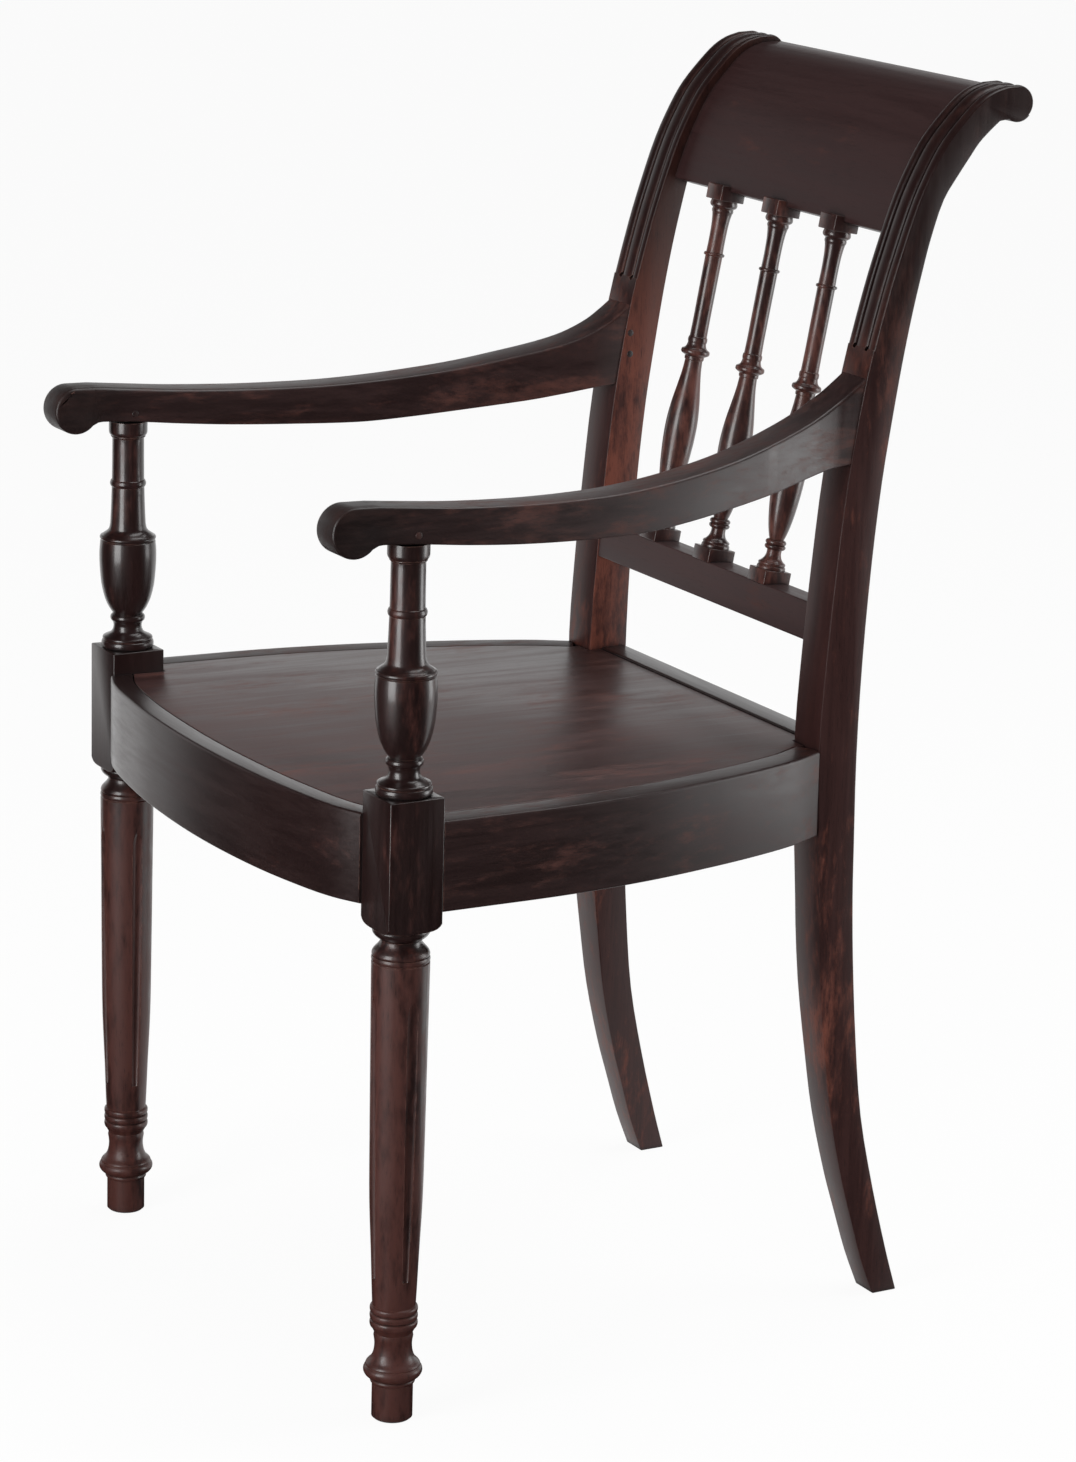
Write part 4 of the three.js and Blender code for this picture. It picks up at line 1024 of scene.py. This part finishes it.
# %% Corner blocks and screws
inner_nodes = [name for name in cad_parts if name.startswith("corner_block")]
screw_nodes = [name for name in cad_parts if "screw" in name]
print(len(inner_nodes), "corner blocks,", len(screw_nodes), "screws")

# %% [markdown]
# ## Finishes: old polish on mahogany
# The wood is a dark red-brown mahogany under many coats of polish. What one sees is made of four things:
# the figure of the wood, which runs along each piece; patches where hands and sleeves have rubbed
# the dark colour away and the wood shows redder; arrises worn to a thin pale line; and painted shade,
# a near-black colour in the quirks, grooves and joints where little light gets in. Each effect is a node
# group, so every wood can mix its own amount.

# %% Helpers for node trees
def put(tree, kind, inputs=(), **settings):
    """Adds a node. Its inputs are named or numbered, and hold a value or another node's output."""
    node = tree.nodes.new("ShaderNode" + kind)
    for name, value in settings.items():
        setattr(node, name, value)
    for socket, value in dict(inputs).items():
        if isinstance(value, bpy.types.NodeSocket):
            tree.links.new(value, node.inputs[socket])
        else:
            node.inputs[socket].default_value = value
    return node


def new_group(name, takes, gives):
    """A shader node group; takes and gives are lists of (name, socket type, default)."""
    tree = bpy.data.node_groups.new(name, "ShaderNodeTree")
    for label, kind, value in takes:
        socket = tree.interface.new_socket(label, in_out="INPUT", socket_type=kind)
        if value is not None:
            socket.default_value = value
    for label, kind, value in gives:
        tree.interface.new_socket(label, in_out="OUTPUT", socket_type=kind)
    return tree, tree.nodes.new("NodeGroupInput").outputs, tree.nodes.new("NodeGroupOutput").inputs


def blend(tree, share, low, high):
    """A colour between two others."""
    return put(tree, "Mix", {0: share, 6: low, 7: high}, data_type="RGBA").outputs[2]


def figure_it(tree, how, first, second):
    """A sum, a product or the like of two values."""
    return put(tree, "Math", {0: first, 1: second}, operation=how).outputs[0]


def step_up(tree, value, low, high):
    """0 below low, 1 above high, and a soft step between them."""
    return put(tree, "MapRange", {"Value": value, "From Min": low, "From Max": high},
               interpolation_type="SMOOTHSTEP").outputs[0]


def fresh(name):
    """A new material, with its node tree and its shader."""
    material = bpy.data.materials.new(name)
    material.use_nodes = True
    return material, material.node_tree, material.node_tree.nodes["Principled BSDF"]


def give(piece, material):
    """The material becomes the piece's only one."""
    piece.data.materials.clear()
    piece.data.materials.append(material)


FLOAT, VECTOR = "NodeSocketFloat", "NodeSocketVector"

# %% [markdown]
# Figure first. Noise that is squeezed across the grain and drawn out along it makes streaks. A coarse
# one gives the broad bands, a fine one the lines between them, and a very fine one, cut off high, the
# open pores. The grain runs along Z here, and each wood turns its pattern to suit the piece.

# %% Group: figure
band_step, pore_step = (0.36, 0.64), (0.6, 0.72)
broad_share = 0.6
figure, takes, gives = new_group("figure", [("Vector", VECTOR, None)],
                                 [("Bands", FLOAT, 0), ("Pores", FLOAT, 0)])
broad = put(figure, "Mapping", {"Vector": takes["Vector"], "Scale": (48, 48, 4.5)})
bands = put(figure, "TexNoise", {"Vector": broad.outputs[0], "Scale": 1, "Detail": 3, "Distortion": 0.9})
fine = put(figure, "Mapping", {"Vector": takes["Vector"], "Scale": (330, 330, 12)})
lines = put(figure, "TexNoise", {"Vector": fine.outputs[0], "Scale": 1, "Detail": 4, "Roughness": 0.6})
mixed = figure_it(figure, "ADD", figure_it(figure, "MULTIPLY", bands.outputs[0], broad_share),
                  figure_it(figure, "MULTIPLY", lines.outputs[0], 1 - broad_share))
figure.links.new(step_up(figure, mixed, *band_step), gives["Bands"])
open_grain = put(figure, "Mapping", {"Vector": takes["Vector"], "Scale": (1500, 1500, 95)})
pores = put(figure, "TexNoise", {"Vector": open_grain.outputs[0], "Scale": 1, "Detail": 2})
figure.links.new(step_up(figure, pores.outputs[0], *pore_step), gives["Pores"])
print("figure:", len(figure.nodes), "nodes")

# %% [markdown]
# Rubbing comes in patches. Two noises of different size are added and cut off, so that the rubbed
# places have ragged borders. The amount moves the cut: a little on the front rail, more on the arms.

# %% Group: rubbed patches
cut_at_none, cut_at_all = 0.7, 0.34
ragged_step = (-0.07, 0.15)
rubbed, takes, gives = new_group("rubbed patches", [("Vector", VECTOR, None), ("Amount", FLOAT, 0.5)],
                                 [("Rubbed", FLOAT, 0)])
drawn = put(rubbed, "Mapping", {"Vector": takes["Vector"], "Scale": (1, 1, 0.3)})
large = put(rubbed, "TexNoise", {"Vector": drawn.outputs[0], "Scale": 24, "Detail": 3, "Distortion": 0.5})
small = put(rubbed, "TexNoise", {"Vector": drawn.outputs[0], "Scale": 150, "Detail": 6, "Roughness": 0.7})
both = figure_it(rubbed, "ADD", figure_it(rubbed, "MULTIPLY", large.outputs[0], 0.5),
                 figure_it(rubbed, "MULTIPLY", small.outputs[0], 0.5))
cut = put(rubbed, "MapRange", {"Value": takes["Amount"], "To Min": cut_at_none, "To Max": cut_at_all})
over = figure_it(rubbed, "SUBTRACT", both, cut.outputs[0])
rubbed.links.new(step_up(rubbed, over, *ragged_step), gives["Rubbed"])
print("rubbed patches:", len(rubbed.nodes), "nodes")

# %% [markdown]
# Arrises wear first. The Bevel node bends the normal near an edge, so where it differs from the true
# normal there is an edge. Fine noise breaks the line up. The second mask is painted shade: where little
# light gets in, as Ambient Occlusion tells, the colour is painted near black and the polish is duller.

# %% Group: worn arrises and painted shade
bend_step, chip_step, dark_step = (0.02, 0.16), (0.4, 0.6), (0.22, 0.75)
wear, takes, gives = new_group(
    "arrises and dirt", [("Vector", VECTOR, None), ("Reach", FLOAT, 0.0014), ("Depth", FLOAT, 0.007)],
    [("Worn", FLOAT, 0), ("Dirt", FLOAT, 0)])
bent = put(wear, "Bevel", {"Radius": takes["Reach"]}, samples=6)
true_normal = put(wear, "NewGeometry").outputs["Normal"]
alike = put(wear, "VectorMath", {0: bent.outputs[0], 1: true_normal}, operation="DOT_PRODUCT")
edge = step_up(wear, figure_it(wear, "SUBTRACT", 1, alike.outputs["Value"]), *bend_step)
chips = put(wear, "TexNoise", {"Vector": takes["Vector"], "Scale": 120, "Detail": 5, "Roughness": 0.7})
chipped = step_up(wear, chips.outputs[0], *chip_step)
wear.links.new(figure_it(wear, "MULTIPLY", edge, chipped), gives["Worn"])
# Painted shade: Ambient Occlusion finds the quirks, grooves and joints where little light gets in.
light_in = put(wear, "AmbientOcclusion", {"Distance": takes["Depth"]}, samples=6)
shade = figure_it(wear, "SUBTRACT", 1, light_in.outputs["AO"])
wear.links.new(step_up(wear, shade, *dark_step), gives["Dirt"])
print("arrises and dirt:", len(wear.nodes), "nodes")

# %% [markdown]
# One function mixes them into a wood. The colours are plain lists, so that they are easy to change:
# the polish where it is whole, the streaks in it, the rubbed wood, the pale arris, and the near-black
# painted shade. Rubbed wood has lost most of its coat of polish and is a little duller, the shaded
# hollows are much duller, and the pores and streaks give a fine relief.

# %% Mix a wood
pale_line, pale_share = (0.17, 0.08, 0.06, 1), 0.6
# The near-black colour of the painted shade in recesses and between parts.
painted_shade_colour, painted_shade_share = (0.004, 0.003, 0.003, 1), 0.85
deep, pore_share = 0.4, 0.6
rubbed_dulls, shade_dulls, streak_dulls = 0.14, 0.25, 0.1
most_rubbed = 0.85
coat_lost = 0.8
streak_height, pore_depth = 0.35, 0.65
relief_height = 0.4 * MM
arris_reach = 1.4 * MM
ALONG = {"X": (0, math.pi / 2, 0), "Y": (math.pi / 2, 0, 0), "Z": (0, 0, 0)}


def mahogany(name, along, polish, streak, bare, rub=0.3, rub_more=None, darker=None, shine=0.3,
             coat=0.5, coat_blur=0.16, gleam=0.45, relief=0.06, shade_depth=0.007):
    """rub_more finds the places that are rubbed more than rub, and darker those whose colour is darker."""
    material, tree, shader = fresh(name)
    place = put(tree, "TexCoord").outputs["Object"]
    turned = put(tree, "Mapping", {"Vector": place, "Rotation": ALONG[along]}).outputs[0]
    grain = put(tree, "Group", {"Vector": turned}, node_tree=figure).outputs
    patches = put(tree, "Group", {"Vector": turned, "Amount": rub}, node_tree=rubbed)
    edges = put(tree, "Group", {"Vector": turned, "Reach": arris_reach, "Depth": shade_depth},
                node_tree=wear).outputs
    if rub_more:
        where = rub_more(tree, place)
        amount = put(tree, "MapRange", {"Value": where, "To Min": rub, "To Max": most_rubbed})
        tree.links.new(amount.outputs[0], patches.inputs["Amount"])
    bared = patches.outputs["Rubbed"]
    darkened = (*[part * deep for part in polish], 1)
    colour = blend(tree, grain["Bands"], (*polish, 1), (*streak, 1))
    colour = blend(tree, bared, colour, (*bare, 1))
    if darker:
        colour = blend(tree, darker(tree, place), colour, darkened)
    colour = blend(tree, figure_it(tree, "MULTIPLY", grain["Pores"], pore_share), colour, darkened)
    colour = blend(tree, figure_it(tree, "MULTIPLY", edges["Worn"], pale_share), colour, pale_line)
    # Painted shade: the recesses found by Ambient Occlusion are painted near black.
    colour = blend(tree, figure_it(tree, "MULTIPLY", edges["Dirt"], painted_shade_share), colour, painted_shade_colour)
    tree.links.new(colour, shader.inputs["Base Color"])
    rough = shine
    for effect, dulls in ((bared, rubbed_dulls), (edges["Dirt"], shade_dulls),
                          (grain["Bands"], streak_dulls)):
        rough = figure_it(tree, "ADD", rough, figure_it(tree, "MULTIPLY", effect, dulls))
    tree.links.new(rough, shader.inputs["Roughness"])
    height = figure_it(tree, "SUBTRACT", figure_it(tree, "MULTIPLY", grain["Bands"], streak_height),
                       figure_it(tree, "MULTIPLY", grain["Pores"], pore_depth))
    bump = put(tree, "Bump", {"Height": height, "Strength": relief, "Distance": relief_height})
    tree.links.new(bump.outputs[0], shader.inputs["Normal"])
    whole = figure_it(tree, "SUBTRACT", coat, figure_it(tree, "MULTIPLY", bared, coat * coat_lost))
    tree.links.new(whole, shader.inputs["Coat Weight"])
    shader.inputs["Coat Roughness"].default_value = coat_blur
    shader.inputs["Specular IOR Level"].default_value = gleam
    return material


print("effects in each wood:", figure.name, "+", rubbed.name, "+", wear.name)

# %% [markdown]
# Use has rubbed the chair in its own places: the legs below the seat, where shoes scrape, and the inner
# faces of the uprights above it. Towards the top of the back the colour is darker, and on the noses of
# the arms the old polish is thick and nearly black. Four small functions find these places by their
# height, by how far forward they are and by where a face looks.

# %% Where it is rubbed more or less
block_line = (0.34, 0.375)
seat_line = (0.4, 0.5)
back_darkening_line = (0.64, 0.82)
nose_line = (0.225, 0.275)
looks_inwards = (0.3, 0.8)
darker_on_back, thick_on_noses = 0.85, 0.8


def below_the_block(tree, place):
    height = put(tree, "SeparateXYZ", {0: place}).outputs["Z"]
    return figure_it(tree, "SUBTRACT", 1, step_up(tree, height, *block_line))


def inner_faces(tree, place):
    where = put(tree, "SeparateXYZ", {0: place}).outputs
    looks = put(tree, "SeparateXYZ", {0: put(tree, "NewGeometry").outputs["Normal"]}).outputs["X"]
    outwards = figure_it(tree, "MULTIPLY", looks, figure_it(tree, "SIGN", where["X"], 0))
    inwards = step_up(tree, figure_it(tree, "MULTIPLY", outwards, -1), *looks_inwards)
    return figure_it(tree, "MULTIPLY", inwards, step_up(tree, where["Z"], *seat_line))


# The colour is darker towards the top of the back.
def top_of_the_back(tree, place):
    height = put(tree, "SeparateXYZ", {0: place}).outputs["Z"]
    return figure_it(tree, "MULTIPLY", step_up(tree, height, *back_darkening_line), darker_on_back)


def arm_noses(tree, place):
    forwards = figure_it(tree, "MULTIPLY", put(tree, "SeparateXYZ", {0: place}).outputs["Y"], -1)
    return figure_it(tree, "MULTIPLY", step_up(tree, forwards, *nose_line), thick_on_noses)


print("legs are rubbed below", block_line[1], "and the back is black above", back_darkening_line[1])

# %% [markdown]
# Every piece gets the wood whose grain runs along it. Turned pieces are the glossiest, the uprights are
# sawn from a redder board, and the seat has a soft even sheen with its grain running front to back.

# %% Dress the pieces in wood
dark, warm, red = (0.0125, 0.0053, 0.0051), (0.0185, 0.0075, 0.007), (0.08, 0.027, 0.0205)
woods = {
    "upright": mahogany("mahogany, uprights", "Z", (0.028, 0.0115, 0.0109), (0.042, 0.016, 0.0145),
                        (0.155, 0.046, 0.03), rub=0.38, rub_more=inner_faces, darker=top_of_the_back,
                        coat=0.12, coat_blur=0.28, gleam=0.22, relief=0.1),
    "across": mahogany("mahogany, front and rear rail", "X", dark, warm, red, rub=0.1, coat_blur=0.25,
                       relief=0.1),
    "crest": mahogany("mahogany, crest", "X", (0.027, 0.0117, 0.0117), (0.033, 0.0137, 0.0135), red,
                      rub=0.14, shine=0.4, coat=0.15, gleam=0.3),
    "stay": mahogany("mahogany, stay rail", "X", (0.038, 0.0192, 0.0192), (0.05, 0.0248, 0.024), red,
                     rub=0.18, shine=0.4, coat=0.1, gleam=0.4),
    "along": mahogany("mahogany, side rails", "Y", (0.0145, 0.006, 0.0057), (0.024, 0.0092, 0.0086),
                      (0.085, 0.028, 0.021), rub=0.38, shine=0.36, coat=0.2, coat_blur=0.3, gleam=0.33,
                      relief=0.12),
    "arm": mahogany("mahogany, arms", "Y", (0.0165, 0.007, 0.0067), (0.027, 0.0108, 0.0101),
                    (0.08, 0.026, 0.019), rub=0.44, darker=arm_noses, shine=0.38, coat=0.25,
                    coat_blur=0.32, gleam=0.4, relief=0.12),
    "leg": mahogany("mahogany, turned legs", "Z", (0.011, 0.0046, 0.0043), (0.0175, 0.007, 0.0065),
                    (0.06, 0.0175, 0.0132), rub=0.37, rub_more=below_the_block, shine=0.28, coat=0.5,
                    coat_blur=0.13, shade_depth=0.012),
    "spindle": mahogany("mahogany, spindles", "Z", (0.019, 0.0077, 0.0073), (0.03, 0.0115, 0.0105),
                        (0.125, 0.042, 0.031), rub=0.52, shine=0.28, coat=0.55, coat_blur=0.13),
    "seat": mahogany("mahogany, seat boards", "Y", (0.031, 0.0122, 0.0115), (0.06, 0.024, 0.022),
                     (0.12, 0.04, 0.03), rub=0.36, shine=0.34, coat=0, gleam=0.75, relief=0.15),
    "peg": mahogany("end grain pegs", "X", (0.01, 0.005, 0.005), warm, red, rub=0.3, shine=0.4,
                    coat=0.2)}
wood_of = {"rear_upright": "upright", "front_rail": "across", "rear_rail": "across",
           "crest_rail": "crest", "stay_rail": "stay", "side_rail": "along", "arm_left": "arm",
           "arm_right": "arm", "front_leg": "leg", "spindle": "spindle", "seat_panel": "seat",
           "arm_p": "peg"}
for piece in [piece for pieces in dressed.values() for piece in pieces]:
    kind = next(kind for start, kind in wood_of.items() if piece.name.startswith(start))
    give(piece, woods[kind])
    print(piece.name, "in", woods[kind].name)

# %% [markdown]
# The hidden blocks are plain unpolished wood, and the screws are dull steel. Both are simple enough for
# one small material each.

# %% Blocks and screws
raw, tree, shader = fresh("plain wood")
place = put(tree, "Mapping", {"Vector": put(tree, "TexCoord").outputs["Object"], "Rotation": ALONG["Y"]})
grain = put(tree, "Group", {"Vector": place.outputs[0]}, node_tree=figure).outputs
colour = blend(tree, grain["Bands"], (0.13, 0.065, 0.035, 1), (0.22, 0.12, 0.07, 1))
colour = blend(tree, grain["Pores"], colour, (0.08, 0.04, 0.022, 1))
tree.links.new(colour, shader.inputs["Base Color"])
shader.inputs["Roughness"].default_value = 0.75
steel, tree, shader = fresh("old steel")
place = put(tree, "TexCoord").outputs["Object"]
stains = put(tree, "TexNoise", {"Vector": place, "Scale": 400, "Detail": 4})
colour = blend(tree, stains.outputs[0], (0.2, 0.18, 0.16, 1), (0.09, 0.06, 0.045, 1))
tree.links.new(colour, shader.inputs["Base Color"])
shader.inputs["Metallic"].default_value = 1
shader.inputs["Roughness"].default_value = 0.5
for names, material in ((inner_nodes, raw), (screw_nodes, steel)):
    for name in names:
        give(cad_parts[name], material)
    print(len(names), "pieces in", material.name)

# %% [markdown]
# ## The studio
# The photograph was made on a white sweep. The floor and the world are white to the camera and in
# reflections, while their real light on the chair is softer, and the floor still takes the shadow.

# %% The floor
def seen_by_camera(tree):
    """1 for rays from the camera, or from something shiny or clear, and 0 for the others."""
    rays = put(tree, "LightPath").outputs
    shiny = figure_it(tree, "MAXIMUM", rays["Is Glossy Ray"], rays["Is Transmission Ray"])
    return figure_it(tree, "MAXIMUM", rays["Is Camera Ray"], shiny)


white = (1, 1, 1, 1)
floor_size = 30
glow_share = 0.94
bpy.ops.object.select_all(action="DESELECT")
bpy.ops.mesh.primitive_plane_add(size=floor_size)
floor = bpy.context.object
floor.name = "studio floor"
paper, tree, shader = fresh("white sweep")
shader.inputs["Base Color"].default_value = (0.85, 0.85, 0.85, 1)
shader.inputs["Roughness"].default_value = 0.9
glow = put(tree, "Emission", {"Color": white, "Strength": 1})
share = figure_it(tree, "MULTIPLY", seen_by_camera(tree), glow_share)
surface = put(tree, "MixShader", {0: share, 1: shader.outputs[0], 2: glow.outputs[0]})
tree.links.new(surface.outputs[0], tree.nodes["Material Output"].inputs["Surface"])
give(floor, paper)
print("floor:", floor_size, "m wide, in", paper.name)

# %% The world
room_light = 0.3
world = bpy.data.worlds.new("white room")
bpy.context.scene.world = world
world.use_nodes = True
tree = world.node_tree
room = tree.nodes["Background"]
room.inputs["Color"].default_value = white
room.inputs["Strength"].default_value = room_light
sweep = put(tree, "Background", {"Color": white, "Strength": 1})
surface = put(tree, "MixShader", {0: seen_by_camera(tree), 1: room.outputs[0], 2: sweep.outputs[0]})
tree.links.new(surface.outputs[0], tree.nodes["World Output"].inputs["Surface"])
print(world.name, "lights the chair with strength", room_light)

# %% [markdown]
# A dark polish mirrors the whole room. The real studio was white behind the chair only, and with white
# all round the wood looks grey. So a tent of black cloth stands round the set, with its floor, and only
# reflections see it. Behind the chair it fades out softly and lets the white through.

# %% The black cloth
cloth_reach = 7
cloth_lift = 1 * MM
bpy.ops.object.select_all(action="DESELECT")
bpy.ops.mesh.primitive_uv_sphere_add(segments=72, ring_count=48, radius=cloth_reach)
cloth = bpy.context.object
cloth.name = "black cloth"
bpy.ops.object.mode_set(mode="EDIT")
mesh = bmesh.from_edit_mesh(cloth.data)
bpy.ops.mesh.select_mode(type="VERT")
bpy.ops.mesh.select_all(action="DESELECT")
for vert in mesh.verts:
    vert.select_set(vert.co.z < cloth_lift)
bmesh.update_edit_mesh(cloth.data)
bpy.ops.transform.resize(value=(1, 1, 0), center_override=(0, 0, 0))
bpy.ops.mesh.select_all(action="SELECT")
bpy.ops.transform.translate(value=(0, 0, cloth_lift))
bpy.ops.object.mode_set(mode="OBJECT")
cloth.visible_camera = cloth.visible_diffuse = cloth.visible_shadow = cloth.visible_transmission = False
print("cloth:", len(cloth.data.polygons), "faces")

# %% [markdown]
# The opening is a mask on the cloth's material: it looks at the direction of each spot from the middle
# of the floor, and there the black gives way to a Transparent shader.

# %% The opening behind the chair
open_middle, open_half, fade = math.radians(128), math.radians(78), math.radians(8)
open_height = math.radians(24)
felt, tree, shader = fresh("black cloth")
shader.inputs["Base Color"].default_value = (0.012, 0.012, 0.012, 1)
shader.inputs["Specular IOR Level"].default_value = 0
place = put(tree, "TexCoord").outputs["Object"]
level = put(tree, "VectorMath", {0: place, 1: (1, 1, 0)}, operation="MULTIPLY").outputs[0]
level = put(tree, "VectorMath", {0: level}, operation="NORMALIZE").outputs[0]
behind = put(tree, "VectorMath", {0: level, 1: (math.cos(open_middle), math.sin(open_middle), 0)},
             operation="DOT_PRODUCT").outputs["Value"]
behind = step_up(tree, behind, math.cos(open_half + fade), math.cos(open_half - fade))
outward = put(tree, "VectorMath", {0: place}, operation="NORMALIZE").outputs[0]
height = put(tree, "SeparateXYZ", {0: outward}).outputs["Z"]
above = step_up(tree, height, math.sin(open_height - fade), math.sin(open_height + fade))
clear = put(tree, "BsdfTransparent").outputs[0]
opening = figure_it(tree, "MULTIPLY", behind, figure_it(tree, "SUBTRACT", 1, above))
surface = put(tree, "MixShader", {0: opening, 1: shader.outputs[0], 2: clear})
tree.links.new(surface.outputs[0], tree.nodes["Material Output"].inputs["Surface"])
give(cloth, felt)
print("the opening is", round(math.degrees(2 * open_half)), "degrees wide")

# %% [markdown]
# Two tall soft lamps stand on the floor, one before the chair and a narrow one behind its left arm. A
# turned piece shows each of them as one soft line. They stand low, because upright wood, seen from
# above, mirrors what is near the floor. A wide lamp above gives the seat and the arms their light, and
# a fill at the left, which reflections don't see, lifts the sides that face the camera.

# %% Lamps
def lamp(name, around, away, foot, width, height, power, tilt=0):
    """A rectangular lamp that faces the chair's middle line. around is its direction in degrees, away
    its distance, foot the height of its lower edge, and tilt turns it down."""
    around, tilt = math.radians(around), math.radians(tilt)
    middle = foot + height / 2 * math.cos(tilt)
    place = Vector((math.cos(around) * away, math.sin(around) * away, middle))
    bpy.ops.object.select_all(action="DESELECT")
    bpy.ops.object.light_add(type="AREA", location=place,
                             rotation=(math.pi / 2 - tilt, 0, around + math.pi / 2))
    light = bpy.context.object
    light.name = name
    light.visible_camera = False
    light.data.shape = "RECTANGLE"
    light.data.size = width
    light.data.size_y = height
    light.data.energy = power
    print(name, "at", [round(value, 2) for value in place])
    return light


lamp("front lamp", around=-75, away=2, foot=0.05, width=0.9, height=1.9, power=38)
lamp("side lamp", around=64, away=1.6, foot=0.05, width=0.6, height=1.3, power=8.5)
lamp("lamp above", around=100, away=1.1, foot=2.9, width=2.2, height=2.2, power=50, tilt=70)
fill = lamp("fill", around=-10, away=2.6, foot=0.1, width=2, height=1.6, power=13)
fill.visible_glossy = False

# %% Bring the scene up to date
bpy.context.view_layer.update()
